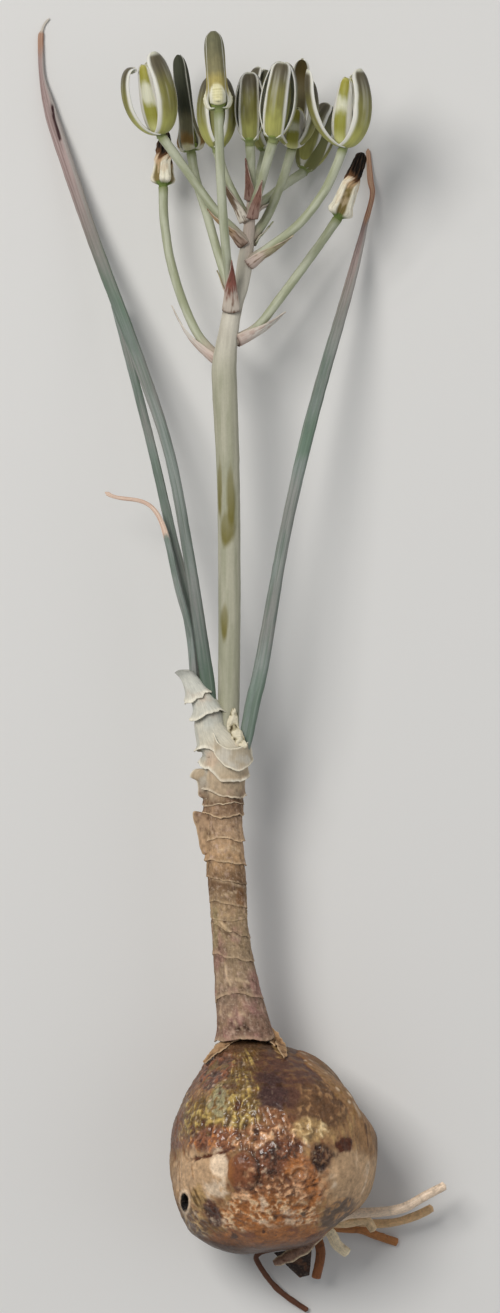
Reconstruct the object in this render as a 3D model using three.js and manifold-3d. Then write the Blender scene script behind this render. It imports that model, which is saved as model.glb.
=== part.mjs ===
// An albuca (Albuca bakeri) lifted with its bulb and laid on a flat surface, in millimetres, +Z up.
// The stem runs along +Y, and the origin is the middle of the small flat spot under the bulb.
// Pieces: bulb, basal plate with its roots, two torn bulb scales, the neck of old leaf sheaths with
// an inner sheath, four leaves, the flower stem with its stalks, and a bract and a flower per stalk.
import * as THREE from "three";
import Module from "manifold-3d";

const wasm = await Module();
wasm.setup();

// Driving dimensions
const GAP = 0.3; // air left between pieces that touch
const BULB_RADIUS = 25.8;
const BULB_CENTRE = new THREE.Vector3(0.5, 0, 25.3);
const BULB_RINGS = 21;
const BULB_SIDES = 28;
const BULB_UNEVENNESS = 0.45; // height of the low waves all over the bulb
const NECK_HEADING = 108; // degrees from +X, seen from above, at which the neck leaves the bulb
const STALK_RADIUS = 1.15;
const BLADE_THICKNESS = 0.7;
const FLOWER_LENGTH = 20; // an outer petal, from the stalk to its tip
const PETAL_HALF_WIDTH = 3.1;
const SCAPE_STEPS = 18;
const TUBE_SIDES = {
  scape: 12, stalk: 6, leaf: 8, root: 6, plate: 12, neck: 18, receptacle: 9, bud: 6, withered: 18,
};

// Where the bulb swells or sinks: heading round the view from above, counted from +X, tilt up from
// level, and spread, all in degrees, and height in millimetres
const BULB_SWELLINGS = [
  { heading: 115, tilt: 0, spread: 19, height: 4.4 }, // shoulder that rises into the neck
  { heading: 36, tilt: 0, spread: 17, height: -2.4 }, // hollow of the right shoulder
  { heading: 27, tilt: 15, spread: 8, height: -1 }, // crease below the outer scale's edge
  { heading: -18, tilt: 0, spread: 22, height: 1.1 }, // right cheek
  { heading: 221, tilt: 0, spread: 26, height: 3.3 }, // lower left cheek
  { heading: 186, tilt: 10, spread: 8, height: -0.9 }, // crease above the lower left cheek
  { heading: 252, tilt: 0, spread: 18, height: 1.5 }, // lower edge
  { heading: 300, tilt: -32, spread: 24, height: -2.2 }, // flattened base round the roots
  { heading: 205, tilt: 66, spread: 13, height: 1 }, // round scar on the upper side
  { heading: 215, tilt: 4, spread: 6, height: -2.2 }, // hole eaten in the left cheek
];

// Each line below is a list of x, y, z and radius, from where the piece grows to its end
const NECK_LINE = [
  [-6.4, 24, 25.5, 7.6],
  [-7.5, 33, 25.5, 6.5],
  [-8.7, 40.5, 25.5, 5.7],
  [-9.8, 48, 25.5, 5],
  [-10.6, 55.5, 25.6, 4.6],
  [-11.1, 63.5, 25.8, 4.65],
  [-11.8, 72.5, 26, 4.8],
  [-12.3, 82, 26, 4.85],
  [-12.3, 90, 26, 5.1],
  [-11.9, 97.5, 26.2, 5.6],
  [-11.9, 101, 26.4, 5.8],
  [-15.1, 106, 26.8, 4.3],
  [-15.9, 110, 27.2, 3.9],
  [-17.6, 114, 27.6, 2.9],
  [-20.4, 118.4, 28, 2.1],
  [-22.4, 122, 28.5, 1.7],
];

// The torn lower edges of the old sheaths, from the bulb up: how far along y each edge lies on the
// right, halfway to the front, in front, halfway to the left and on the left, and how far it
// stands out from the sheath below it
const NECK_EDGES = [
  { y: [28.7, 28.1, 28.4, 27.7, 27.3], lip: 0.6 },
  { y: [38.1, 38.7, 39.8, 39, 37], lip: 0.35 },
  { y: [47.7, 48, 48.6, 49.6, 49.3], lip: 0.35 },
  { y: [53.4, 53.9, 55.4, 57, 57.3], lip: 0.3 },
  { y: [59.8, 58.7, 58, 58.6, 58.8], lip: 0.3 },
  { y: [61.2, 61.6, 62.5, 63, 62.6], lip: 0.35 },
  { y: [67, 67.6, 68.6, 69.1, 69.1], lip: 0.35 },
  { y: [71.9, 72.5, 72.8, 73.5, 73.4], lip: 0.4 },
  { y: [78, 78, 79.3, 78.5, 77.5], lip: 0.5 },
  { y: [85, 84.6, 83.9, 85, 85.4], lip: 0.45 },
  { y: [87.6, 87.7, 87.5, 87, 87.4], lip: 0.35 },
  { y: [89.6, 88.9, 89.8, 91.1, 92], lip: 0.6 },
  { y: [94.8, 93.1, 93.4, 96.2, 98.2], lip: 0.9 },
  { y: [99.5, 98.6, 99.5, 102.6, 102.6], lip: 0.8 },
  { y: [108.3, 111.1, 110.8, 109.1, 109.8], lip: 1 },
  { y: [116.2, 115.8, 114.9, 114.2, 113.9], lip: 1 },
];
const LIP_UNDERCUT = 0.35; // how far up under a lip its shadowed corner lies

// The sheath that clasps the foot of the stem in front: its rim and its torn lower edge from right
// to left, as heading round the neck from the right side, height of rim and height of lower edge
const FRONT_SHEATH = {
  heading: [-25, 20, 55, 80, 100, 122],
  rim: [104.2, 103.6, 102, 101.7, 102.8, 105.8],
  edge: [100, 98, 96.2, 96.8, 99.4, 104.6],
  centre: [-12, 26.4],
  radius: 6.7,
};

// Flaps of old sheath that stand off the neck's left side: where the flap is rooted, its ends
// along y, and how far left its free side reaches at the lower and the upper end
const NECK_FLAPS = [
  { root: [-14.2, 30], y: [75.2, 85.4], reach: [-17.6, -19.8], drop: 2 },
  { root: [-14.6, 30.3], y: [89.3, 96.8], reach: [-17.6, -20.4], drop: 1.4 },
];

const SCAPE_LINE = [
  [-11.5, 94, 26.4, 2.6],
  [-11.1, 105, 26.8, 2.7],
  [-10.8, 139, 27, 2.8],
  [-11.1, 170, 27, 2.9],
  [-12, 192.5, 27, 3.15],
  [-12.1, 199, 27, 3.1],
  [-11.1, 206.5, 27, 2.5],
  [-9.9, 213, 27, 2.3],
  [-7.8, 219, 27, 1.9],
  [-6.8, 225, 27, 1.95],
  [-6.1, 230.5, 27, 1.6],
  [-5.6, 236, 27, 1.35],
  [-5.1, 241.5, 26.5, 1],
];

const LEAVES = {
  leaf_long: [
    [-15.8, 99, 27, 1.1],
    [-15.9, 114, 28, 1.8],
    [-17.7, 128, 27.5, 1.7],
    [-21.1, 150.5, 26, 1.45],
    [-26.2, 177, 22, 1.4],
    [-34, 200.5, 16, 1.6],
    [-45.6, 231.5, 8, 1.65],
    [-54.8, 258.5, 2.9, 1.75],
    [-57.2, 266.5, 1.9, 1.5],
    [-58.9, 274, 1.2, 0.8],
    [-59.3, 282, 0.8, 0.75],
    [-59.2, 285, 0.7, 0.65],
    [-56.9, 288.8, 0.6, 0.4],
  ],
  leaf_behind: [
    [-15.6, 99, 22.5, 1.3],
    [-17.6, 114, 23, 1.4],
    [-21.3, 139, 22, 1.3],
    [-25.1, 154.5, 21, 1.25],
    [-30.4, 177.5, 17.5, 1.15],
    [-36.3, 200.5, 12, 1.1],
    [-40.6, 215.5, 7.5, 0.7],
  ],
  leaf_dry_tip: [
    [-18.4, 106.5, 26.9, 0.8],
    [-19.5, 116.5, 27.6, 0.95],
    [-21, 131.5, 27.4, 0.9],
    [-24, 143, 26.6, 0.85],
    [-26.8, 155.5, 25, 0.75],
    [-29.4, 161.5, 24, 0.6],
    [-33, 164.2, 23.4, 0.5],
    [-39.6, 165.3, 22.4, 0.5],
    [-42.4, 166.6, 22, 0.6],
  ],
  leaf_right: [
    [-7.7, 98.5, 28, 1.1],
    [-6.4, 105, 29.2, 1.7],
    [-4.9, 113, 30.4, 1.9],
    [-2.4, 124, 30.2, 1.85],
    [3, 154.5, 27, 1.5],
    [10, 185, 22, 1.65],
    [18.8, 216, 12.5, 1.4],
    [21.9, 227.5, 8.5, 1.15],
    [23.9, 235.5, 5.6, 0.75],
    [25.8, 243.2, 3, 0.65],
    [25.3, 247.2, 1.6, 0.8],
    [24.7, 255.3, 0.6, 0.55],
  ],
};
const LEAF_FLATNESS = 0.72; // a leaf's depth against its width

const ROOTS = [
  [[10.8, -17.5, 12.5, 1.2], [15.3, -18.6, 13, 1.3], [19.9, -17.2, 13, 1.3], [27.6, -16.6, 14, 1.3],
    [33.4, -15.6, 14.5, 1.25], [39, -12.5, 15, 1.2], [44.3, -9.7, 15, 1.15]],
  [[11, -18.5, 10, 1.1], [16.1, -20, 9, 1.15], [21.3, -19.5, 9, 1.15], [27.2, -20.1, 8, 1.1],
    [32.8, -19.4, 8, 1.05], [37.9, -17.6, 8, 1.1], [41.2, -15.8, 8, 1.1]],
  [[11, -19, 9, 1], [16.2, -21.2, 6.5, 1.1], [22.6, -21.9, 4.5, 1.1], [27.8, -23.9, 2.2, 1.15],
    [32.4, -25.5, 0.9, 1.05]],
  [[10.6, -18.4, 12.5, 1.3], [18.7, -19.6, 11.2, 1.3], [23.8, -19, 10.9, 1.25], [26.2, -21.8, 10.6, 1.1]],
  [[9.5, -18, 13.5, 1.4], [14.6, -21.6, 14.6, 1.4], [16.6, -24.9, 14.6, 1.4], [19.6, -27.3, 14.4, 1.35]],
  [[9.5, -18.5, 11.5, 1.2], [12.4, -26.6, 10.6, 1.25], [11.3, -34.1, 8.6, 1.2]],
  [[8.5, -18.5, 9.5, 0.8], [2.8, -25.6, 6.5, 0.75], [-3, -27.8, 5, 0.7], [-3.6, -30.3, 4, 0.7],
    [1.6, -37.4, 2.2, 0.75], [9.3, -43, 0.9, 0.7]],
];
const PLATE = { centre: [9.6, -17.4, 11.6], radius: 4.6 }; // the flat base that the roots grow from

// The flowers from the lowest stalk up. stalk is the line of the flower's stalk from the stem's
// middle, tip is where its petals end, and turn is the heading of one outer petal round the
// flower's own axis, counted from the side that faces up. spread is how far the tip of each outer
// petal leans out, hook how far it curls in, and bract the length of the bract below the stalk.
const FLOWERS = {
  withered_left: {
    kind: "withered", tip: [-27.2, 259.5, 11], turn: 20, bract: 19,
    stalk: [[-12.6, 199.6, 26], [-18.2, 205.7, 23], [-22.3, 214.2, 19.5], [-25.7, 225.2, 16.5],
      [-27.4, 236, 14.5], [-27.7, 245, 13.5]],
  },
  withered_right: {
    kind: "withered", tip: [23.2, 253.3, 17.5], turn: -30, bract: 14,
    stalk: [[-9.9, 204.6, 26.6], [-4, 208.2, 24.5], [0.8, 214.1, 22.5], [8.4, 224.4, 20.5],
      [13.5, 231.5, 19.5], [16.8, 236.4, 19.3]],
  },
  tall_front: {
    kind: "spent", tip: [-14.8, 281, 49.5], turn: 0, bract: 13, length: 19.4,
    stalk: [[-10, 212.5, 27.5], [-10.8, 220.6, 33.5], [-11.6, 227.1, 39], [-12.6, 239.3, 44.5],
      [-13.2, 251.7, 47], [-13.4, 261.7, 48]],
  },
  tall_left: {
    kind: "spent", tip: [-23.9, 278.5, 18], turn: 15, bract: 9, length: 24.6,
    stalk: [[-9.3, 215, 26], [-12.7, 224, 22.5], [-16.5, 237.1, 20], [-19.3, 246.1, 19.2],
      [-20.6, 253.3, 19]],
  },
  open_right: {
    kind: "open", tip: [21.4, 271.7, 41], turn: 52, bract: 14, spread: [0, 0, 41],
    length: 21.4,
    stalk: [[-6.8, 224.4, 27.3], [-0.5, 228.4, 30], [6.8, 234, 33], [12.6, 241.2, 35],
      [15.8, 247.4, 36], [17.9, 252.9, 37]],
  },
  open_left: {
    kind: "open", tip: [-31.2, 275.9, 39], turn: 48, bract: 13, spread: [0, 0, 27],
    hook: [0, 0, 75], length: 23.2,
    stalk: [[-6.2, 229.4, 27.3], [-9.4, 232.6, 29], [-14.2, 237.4, 31], [-21.9, 247.8, 34],
      [-28, 256.2, 35]],
  },
  open_lower_right: {
    kind: "open", tip: [7.4, 275.5, 32], turn: 155, bract: 8, spread: [0, 0, 0],
    length: 23, broad: 0.85,
    stalk: [[-6.3, 229.5, 26.6], [-1.5, 236, 23.5], [2.4, 245, 22], [5.2, 254, 22.5]],
  },
  shut_behind: {
    kind: "shut", tip: [-14.1, 271.4, 32], turn: 62, bract: 13,
    stalk: [[-5.9, 234.6, 27], [-9.4, 241.2, 28.3], [-12, 246.6, 29.3], [-13.9, 252.9, 30]],
  },
  shut_front: {
    kind: "shut", tip: [2.8, 274.5, 43.5], turn: 4, bract: 16, broad: 1.08,
    stalk: [[-5.6, 236, 27.6], [-3.3, 242.6, 33], [-1.5, 248.6, 37.5], [0.2, 254.6, 40.5]],
  },
  shut_low_right: {
    kind: "shut", tip: [14.4, 265.7, 3.3], turn: -25, bract: 8,
    stalk: [[-5.4, 238.4, 26.4], [-1.3, 241.1, 21], [3.3, 245.3, 12], [8.2, 249, 4.9]],
  },
  shut_low: {
    kind: "shut", tip: [-1.5, 277.1, 3.8], turn: 190, bract: 9, length: 23.5,
    stalk: [[-5.2, 240, 26], [-3.6, 246.2, 15], [-1.7, 253.8, 5.9]],
  },
  shut_middle: {
    kind: "shut", tip: [-5.6, 272.2, 37.5], turn: -4, bract: 14, broad: 0.88, length: 18.6,
    stalk: [[-5.2, 240.5, 26.8], [-5.3, 247.6, 32.5], [-5.6, 254.2, 35.5]],
  },
};

// How the outer petals of each kind of flower stand: their lean from the flower's axis at the base
// and at the tip, in degrees, and their width against the usual one
const PETALS = {
  open: { lean: [84, -38], width: 1.14 },
  shut: { lean: [64, -26], width: 0.94 },
  spent: { lean: [32, -13], width: 0.64 },
};
const PETAL_GRID = { rows: 5, columns: 3 };
const PETAL_CUPPING = 0.8; // half the angle that a petal's section bends through, in radians
const HOOK_SHARPNESS = 8; // how near its tip a hooked petal turns in

// The inner petals stand shut round the pistil as one three-sided bud: height and radius
const INNER_BUD = {
  open: [[0.8, 1.4], [2.4, 2.4], [5.4, 3], [9, 3.1], [12.4, 2.7], [15, 1.9], [16.2, 0.9]],
  shut: [[0.8, 1.2], [2.4, 1.5], [5.6, 2.1], [10, 2.2], [14, 1.6], [16.4, 0.7]],
  spent: [[3, 1.1], [8, 1.2], [13, 1.2], [17, 0.7]],
};
const RECEPTACLE = {
  open: [[0.3, 1.1], [0.9, 1.6], [1.8, 1.6]],
  shut: [[0.3, 1.1], [0.9, 1.5], [1.8, 1.5]],
  spent: [[0.3, 1.4], [0.9, 2.7], [2.2, 3], [3.1, 2.6], [4, 2.7], [5.2, 2.2], [7, 1.4]],
};

const UP = new THREE.Vector3(0, 0, 1);
const TOWARDS_BULB = new THREE.Vector3(0, -1, 0);
const radians = THREE.MathUtils.degToRad;

// Splines and closed surfaces

// A smooth line through points of x, y, z and radius: the place, radius and frame at t from 0 to 1
function lineThrough(points) {
  const places = points.map(([x, y, z]) => new THREE.Vector3(x, y, z));
  const path = new THREE.CatmullRomCurve3(places, false, "catmullrom");
  const radii = new THREE.SplineCurve(points.map((point, i) => new THREE.Vector2(i, point[3])));
  return (share) => {
    const t = THREE.MathUtils.clamp(share, 0, 1);
    const along = path.getTangent(t);
    const side = along.clone().cross(UP).normalize();
    const up = side.clone().cross(along);
    return { centre: path.getPoint(t), radius: radii.getPoint(t).y, along, side, up };
  };
}

// A closed solid from corners and triangles, turned to face out if they face in
function closedSolid(corners, triangles) {
  let volume = 0;
  for (let i = 0; i < triangles.length; i += 3) {
    const [a, b, c] = [0, 1, 2].map((k) => corners[triangles[i + k]]);
    volume += a.dot(b.clone().cross(c));
  }
  const faces = [...triangles];
  if (volume < 0) {
    for (let i = 0; i < faces.length; i += 3) [faces[i + 1], faces[i + 2]] = [faces[i + 2], faces[i + 1]];
  }
  const geometry = new THREE.BufferGeometry().setFromPoints(corners).setIndex(faces);
  return new wasm.Manifold(
    new wasm.Mesh({
      numProp: 3,
      vertProperties: geometry.attributes.position.array,
      triVerts: new Uint32Array(geometry.index.array),
    }),
  );
}

// A solid skinned over rings of corners, with a point closing each end
function loft(rings, start, end) {
  const sides = rings[0].length;
  const corners = [start, ...rings.flat(), end];
  const triangles = [];
  rings.forEach((ring, r) => {
    for (let i = 0; i < sides; i++) {
      const a = 1 + r * sides + i;
      const b = 1 + r * sides + ((i + 1) % sides);
      if (r === 0) triangles.push(0, b, a);
      if (r === rings.length - 1) triangles.push(a, b, corners.length - 1);
      else triangles.push(a, b, b + sides, a, b + sides, a + sides);
    }
  });
  return closedSolid(corners, triangles);
}

// A round or flattened stem along a line, grown by extra all round, with slightly domed ends
function stem(points, { sides, steps, flatness = 1, extra = 0, from = 0, to = 1 }) {
  const at = lineThrough(points);
  const rings = [];
  for (let r = 0; r <= steps; r++) {
    const { centre, radius, side, up } = at(from + ((to - from) * r) / steps);
    const ring = [];
    for (let i = 0; i < sides; i++) {
      const turn = (2 * Math.PI * i) / sides;
      ring.push(
        centre
          .clone()
          .addScaledVector(side, (radius + extra) * Math.cos(turn))
          .addScaledVector(up, (radius * flatness + extra) * Math.sin(turn)),
      );
    }
    rings.push(ring);
  }
  const dome = (t, way) => {
    const { centre, radius, along } = at(t);
    return centre.clone().addScaledVector(along, way * (0.45 * radius + extra));
  };
  return loft(rings, dome(from, -1), dome(to, 1));
}

// A thin blade: both faces of a curved sheet, split into triangles alike, with a rim between them.
// sheet(u, v) gives the middle of the blade for u from 0 to 1 and v from -1 to 1.
function blade(sheet, { rows, columns }, thickness = BLADE_THICKNESS) {
  const STEP = 1e-3;
  const corners = [];
  const across = columns + 1;
  const back = (rows + 1) * across;
  for (const face of [1, -1]) {
    for (let r = 0; r <= rows; r++) {
      for (let c = 0; c <= columns; c++) {
        const u = r / rows;
        const v = (2 * c) / columns - 1;
        const middle = sheet(u, v);
        const alongU = sheet(u + STEP, v).sub(sheet(u - STEP, v));
        const alongV = sheet(u, v + STEP).sub(sheet(u, v - STEP));
        const out = alongU.cross(alongV).normalize();
        corners.push(middle.addScaledVector(out, (face * thickness) / 2));
      }
    }
  }
  const triangles = [];
  for (let r = 0; r < rows; r++) {
    for (let c = 0; c < columns; c++) {
      const [a, b] = [r * across + c, r * across + c + 1];
      const [d, e] = [a + across, b + across];
      triangles.push(a, b, e, a, e, d, back + a, back + e, back + b, back + a, back + d, back + e);
    }
  }
  const rim = [];
  for (let c = 0; c < columns; c++) rim.push(c);
  for (let r = 0; r < rows; r++) rim.push(r * across + columns);
  for (let c = columns; c > 0; c--) rim.push(rows * across + c);
  for (let r = rows; r > 0; r--) rim.push(r * across);
  rim.forEach((a, i) => {
    const b = rim[(i + 1) % rim.length];
    triangles.push(a, back + b, b, a, back + a, back + b);
  });
  return closedSolid(corners, triangles);
}

// A round or lobed body along an axis, from the height, radius and twist of each station
function turned(frame, stations, sides, lobes = 0, depth = 0, phase = 0) {
  const place = (height, radius, turn) =>
    frame.base
      .clone()
      .addScaledVector(frame.axis, height)
      .addScaledVector(frame.front, radius * Math.cos(turn))
      .addScaledVector(frame.right, radius * Math.sin(turn));
  const rings = stations.map(([height, radius, twist = 0]) => {
    const ring = [];
    for (let i = 0; i < sides; i++) {
      const turn = (2 * Math.PI * i) / sides;
      ring.push(place(height, radius * (1 + depth * Math.cos(lobes * turn)), turn + phase + twist));
    }
    return ring;
  });
  const [first, last] = [stations[0], stations[stations.length - 1]];
  return loft(rings, place(first[0] - 0.2, 0, 0), place(last[0] + 0.2, 0, 0));
}

// Joins and cuts
const joined = (solids) => solids.reduce((whole, one) => whole.add(one));
const largest = (solid) =>
  solid.decompose().reduce((best, one) => (one.volume() > best.volume() ? one : best));
const onTheSurface = (solid) => solid.trimByPlane([0, 0, 1], 0); // what would sink below is flat

// Bulb

const pointing = (heading, tilt) =>
  new THREE.Vector3(
    Math.cos(radians(tilt)) * Math.cos(radians(heading)),
    Math.cos(radians(tilt)) * Math.sin(radians(heading)),
    Math.sin(radians(tilt)),
  );

// The bulb's radius in a direction: a sphere, its swellings and low waves
function bulbRadius(direction) {
  let radius = BULB_RADIUS;
  for (const { heading, tilt, spread, height } of BULB_SWELLINGS) {
    const away = direction.angleTo(pointing(heading, tilt)) / radians(spread);
    radius += height * Math.exp(-away * away);
  }
  const { x, y, z } = direction;
  const waves = Math.sin(6 * x + 2 * y + 1) * Math.cos(5 * z - 2 * x) + Math.sin(7 * y - 4 * z);
  return radius + BULB_UNEVENNESS * waves;
}

// The bulb as rings of corners from its base to its neck, grown by extra all round
function bulbBody(extra = 0) {
  const pole = pointing(NECK_HEADING, 0);
  const side = new THREE.Vector3().crossVectors(pole, UP);
  const place = (lean, turn) => {
    const direction = pole
      .clone()
      .multiplyScalar(-Math.cos(lean))
      .addScaledVector(side, Math.sin(lean) * Math.cos(turn))
      .addScaledVector(UP, Math.sin(lean) * Math.sin(turn));
    return direction.clone().multiplyScalar(bulbRadius(direction) + extra).add(BULB_CENTRE);
  };
  const rings = [];
  for (let r = 1; r < BULB_RINGS; r++) {
    const ring = [];
    for (let i = 0; i < BULB_SIDES; i++) {
      ring.push(place((Math.PI * r) / BULB_RINGS, (2 * Math.PI * i) / BULB_SIDES));
    }
    rings.push(ring);
  }
  return loft(rings, place(0, 0), place(Math.PI, 0));
}

// Basal plate and roots

function rootsAndPlate(keepOff) {
  const [x, y, z] = PLATE.centre;
  const out = new THREE.Vector3(x, y, z).sub(BULB_CENTRE).normalize();
  const right = new THREE.Vector3().crossVectors(out, UP).normalize();
  const frame = { base: new THREE.Vector3(x, y, z), axis: out, front: right.clone().cross(out), right };
  const dome = [-0.75, -0.35, 0.1, 0.5, 0.85].map((share) => [
    PLATE.radius * share,
    PLATE.radius * Math.sqrt(1 - share * share),
  ]);
  const roots = ROOTS.map((line) => stem(line, { sides: TUBE_SIDES.root, steps: line.length + 1 }));
  return largest(joined([turned(frame, dome, TUBE_SIDES.plate), ...roots]).subtract(keepOff));
}

// Torn scales: blades that curl away from the bulb's lower edge

function paleScale(keepOff) {
  const at = lineThrough([[13.6, -21, 17.6, 0.7], [8.4, -25.4, 16.6, 1.5], [4, -28, 15.8, 1.4],
    [0.6, -29.6, 15, 0.7]]);
  const sheet = (u, v) => {
    const { centre, radius, side, up } = at(u);
    return centre
      .clone()
      .addScaledVector(side, radius * v)
      .addScaledVector(up, 0.5 * (1 - v * v));
  };
  return largest(blade(sheet, { rows: 8, columns: 4 }, 0.8).subtract(keepOff));
}

function darkScale(keepOff) {
  const corners = { left: [0.6, -27.4, 11], right: [10.2, -25.4, 12.5], low: [8.4, -33.4, 8.5] };
  const [left, right, low] = [corners.left, corners.right, corners.low].map(
    (corner) => new THREE.Vector3(...corner),
  );
  const TIP_SHARE = 0.25; // width left at the torn tip
  const sheet = (u, v) => {
    const edge = left.clone().lerp(right, (v + 1) / 2);
    const tip = low.clone().addScaledVector(right.clone().sub(left), (TIP_SHARE * v) / 2);
    return edge.lerp(tip, u).addScaledVector(UP, 0.6 * Math.sin(2 * v + 3 * u));
  };
  return largest(blade(sheet, { rows: 4, columns: 4 }, 0.8).subtract(keepOff));
}

// Neck

// The height of a torn edge at a heading round the neck, from its five measured heights; the far
// side, where none was measured, lies between right and left
function edgeHeight(heights, turn) {
  const behind = (heights[0] + heights[4]) / 2;
  const around = [...heights, behind, behind, behind];
  const eighth = (turn / (2 * Math.PI)) * 8;
  const i = Math.floor(eighth);
  const share = (1 - Math.cos(Math.PI * (eighth - i))) / 2;
  return around[i % 8] * (1 - share) + around[(i + 1) % 8] * share;
}

// The neck's rings: each old sheath widens down to a torn, wavy lip and tucks in under it
function neckBody(extra = 0, lift = 0) {
  const at = lineThrough(NECK_LINE);
  const stationOf = (y) => {
    let [low, high] = [0, 1];
    for (let i = 0; i < 20; i++) {
      const middle = (low + high) / 2;
      if (at(middle).centre.y < y) low = middle;
      else high = middle;
    }
    return low;
  };
  const ringAt = (heights, out, above) => {
    const ring = [];
    for (let i = 0; i < TUBE_SIDES.neck; i++) {
      const turn = (2 * Math.PI * i) / TUBE_SIDES.neck;
      const y = edgeHeight(heights, turn) + above + lift;
      const first = at(stationOf(y));
      const { centre, radius, side, up } = at(stationOf(y - first.side.y * first.radius * Math.cos(turn)));
      ring.push(
        centre
          .clone()
          .addScaledVector(side, (radius + out + extra) * Math.cos(turn))
          .addScaledVector(up, (radius + out + extra) * Math.sin(turn)),
      );
    }
    return ring;
  };
  const level = (y) => [y, y, y, y, y];
  const rings = [ringAt(level(NECK_LINE[0][1] + 0.1), 0, 0)];
  for (const { y, lip } of NECK_EDGES) {
    rings.push(ringAt(y, 0, LIP_UNDERCUT));
    rings.push(ringAt(y, lip, 0));
  }
  rings.push(ringAt(level(121.4), 0, 0));
  return loft(rings, at(0).centre.clone(), at(1).centre.clone());
}

// A torn flap of sheath, rooted in the neck's front and free on its left side
function neckFlap({ root, y, reach, drop }) {
  const sheet = (u, v) => {
    const along = (v + 1) / 2;
    const freeX = THREE.MathUtils.lerp(reach[0], reach[1], along);
    return new THREE.Vector3(
      THREE.MathUtils.lerp(root[0], freeX, u),
      THREE.MathUtils.lerp(y[0], y[1], along) + 0.4 * u * Math.sin(3 * v),
      root[1] - drop * u * u + 0.3 * Math.sin(4 * v) * u,
    );
  };
  return blade(sheet, { rows: 3, columns: 4 });
}

// The sheath that clasps the foot of the stem and of the right leaf, free of the neck at its rim
function frontSheath() {
  const { heading, rim, edge, centre, radius } = FRONT_SHEATH;
  const at = lineThrough(heading.map((turn, i) => [turn, rim[i], edge[i], 0]));
  const sheet = (u, v) => {
    const { x: turn, y: top, z: low } = at((v + 1) / 2).centre;
    return new THREE.Vector3(
      centre[0] + radius * Math.cos(radians(turn)),
      THREE.MathUtils.lerp(low, top, u),
      centre[1] + radius * Math.sin(radians(turn)),
    );
  };
  return blade(sheet, { rows: 1, columns: 12 });
}

// A shred of the innermost sheath that stands in front of the foot of the stem
function innerShred() {
  const sheet = (u, v) =>
    new THREE.Vector3(
      -8.9 - 0.9 * u + 1.5 * v * (1 - 0.5 * u) + 0.3 * Math.sin(9 * u),
      102.4 + 9 * u,
      31.6 - 0.6 * v * v + 0.3 * Math.sin(7 * u),
    );
  return blade(sheet, { rows: 5, columns: 2 });
}

// Flowers

// A flower's own frame: its base, its axis, and the directions in front and to its right
function flowerFrame({ stalk, tip }) {
  const base = new THREE.Vector3(...stalk[stalk.length - 1]);
  const axis = new THREE.Vector3(...tip).sub(base).normalize();
  const right = axis.clone().cross(UP).normalize();
  return { base, axis, right, front: right.clone().cross(axis) };
}

// A petal's sheet: its midrib leans from one angle to another and may hook in at the tip, and its
// section is cupped inwards
function petalSheet(frame, heading, { length, halfWidth, lean, hook, inset }) {
  const STEPS = 40;
  const midrib = [[inset, 0.4]];
  for (let i = 0; i < STEPS; i++) {
    const share = (i + 0.5) / STEPS;
    const [first, last] = lean;
    const angle = radians(first + (last - first) * Math.sqrt(share) - hook * share ** HOOK_SHARPNESS);
    const [out, high] = midrib[i];
    midrib.push([out + (length / STEPS) * Math.sin(angle), high + (length / STEPS) * Math.cos(angle)]);
  }
  const turn = radians(heading);
  const outward = frame.front
    .clone()
    .multiplyScalar(Math.cos(turn))
    .addScaledVector(frame.right, Math.sin(turn));
  const across = new THREE.Vector3().crossVectors(frame.axis, outward);
  return (row, v) => {
    const u = row - 0.08 * Math.sin(2 * Math.PI * row); // rows stand closer towards both ends
    const i = THREE.MathUtils.clamp(Math.floor(u * STEPS), 0, STEPS - 1);
    const f = u * STEPS - i;
    const [out, high] = [0, 1].map((k) => midrib[i][k] * (1 - f) + midrib[i + 1][k] * f);
    const width = halfWidth * Math.sqrt(Math.max(1 - ((u - 0.5) / 0.54) ** 2, 0.05));
    const bend = PETAL_CUPPING * v;
    return frame.base
      .clone()
      .addScaledVector(frame.axis, high)
      .addScaledVector(outward, out - (width * (1 - Math.cos(bend))) / PETAL_CUPPING)
      .addScaledVector(across, (width * Math.sin(bend)) / PETAL_CUPPING);
  };
}

// A flower: the swollen end of the stalk, the shut bud of inner petals and three outer petals
function flowerBody(flower) {
  const { kind, turn, spread = [0, 0, 0], hook = [0, 0, 0], broad = 1 } = flower;
  const frame = flowerFrame(flower);
  const { lean, width } = PETALS[kind];
  const length = flower.length ?? FLOWER_LENGTH;
  const bud = INNER_BUD[kind].map(([height, radius]) => [height * (length / FLOWER_LENGTH), radius]);
  const solids = [
    turned(frame, RECEPTACLE[kind], TUBE_SIDES.receptacle),
    turned(frame, bud, TUBE_SIDES.bud, 3, 0.1, radians(turn + 60)),
  ];
  for (let i = 0; i < 3; i++) {
    const shape = {
      length,
      halfWidth: PETAL_HALF_WIDTH * width * broad,
      lean: [lean[0], lean[1] + spread[i]],
      hook: hook[i],
      inset: 0.6,
    };
    solids.push(blade(petalSheet(frame, turn + 120 * i, shape), PETAL_GRID));
  }
  return joined(solids);
}

// A withered flower: knobbed swollen base, and dried petals twisted into a ribbed club above it
function witheredFlower(flower) {
  const frame = flowerFrame(flower);
  const reach = new THREE.Vector3(...flower.tip).distanceTo(frame.base);
  const stations = [
    [0.3, 1.7], [0.9, 3.1], [2, 3.3], [3, 2.75], [5.4, 2.85], [7.2, 2.35, 0.15], [8.4, 2.3, 0.3],
    [11, 2, 0.7], [13.4, 1.7, 1.1], [reach - 1.2, 1.1, 1.4], [reach - 0.3, 0.5, 1.5],
  ];
  return turned(frame, stations, TUBE_SIDES.withered, 6, 0.16);
}

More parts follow.
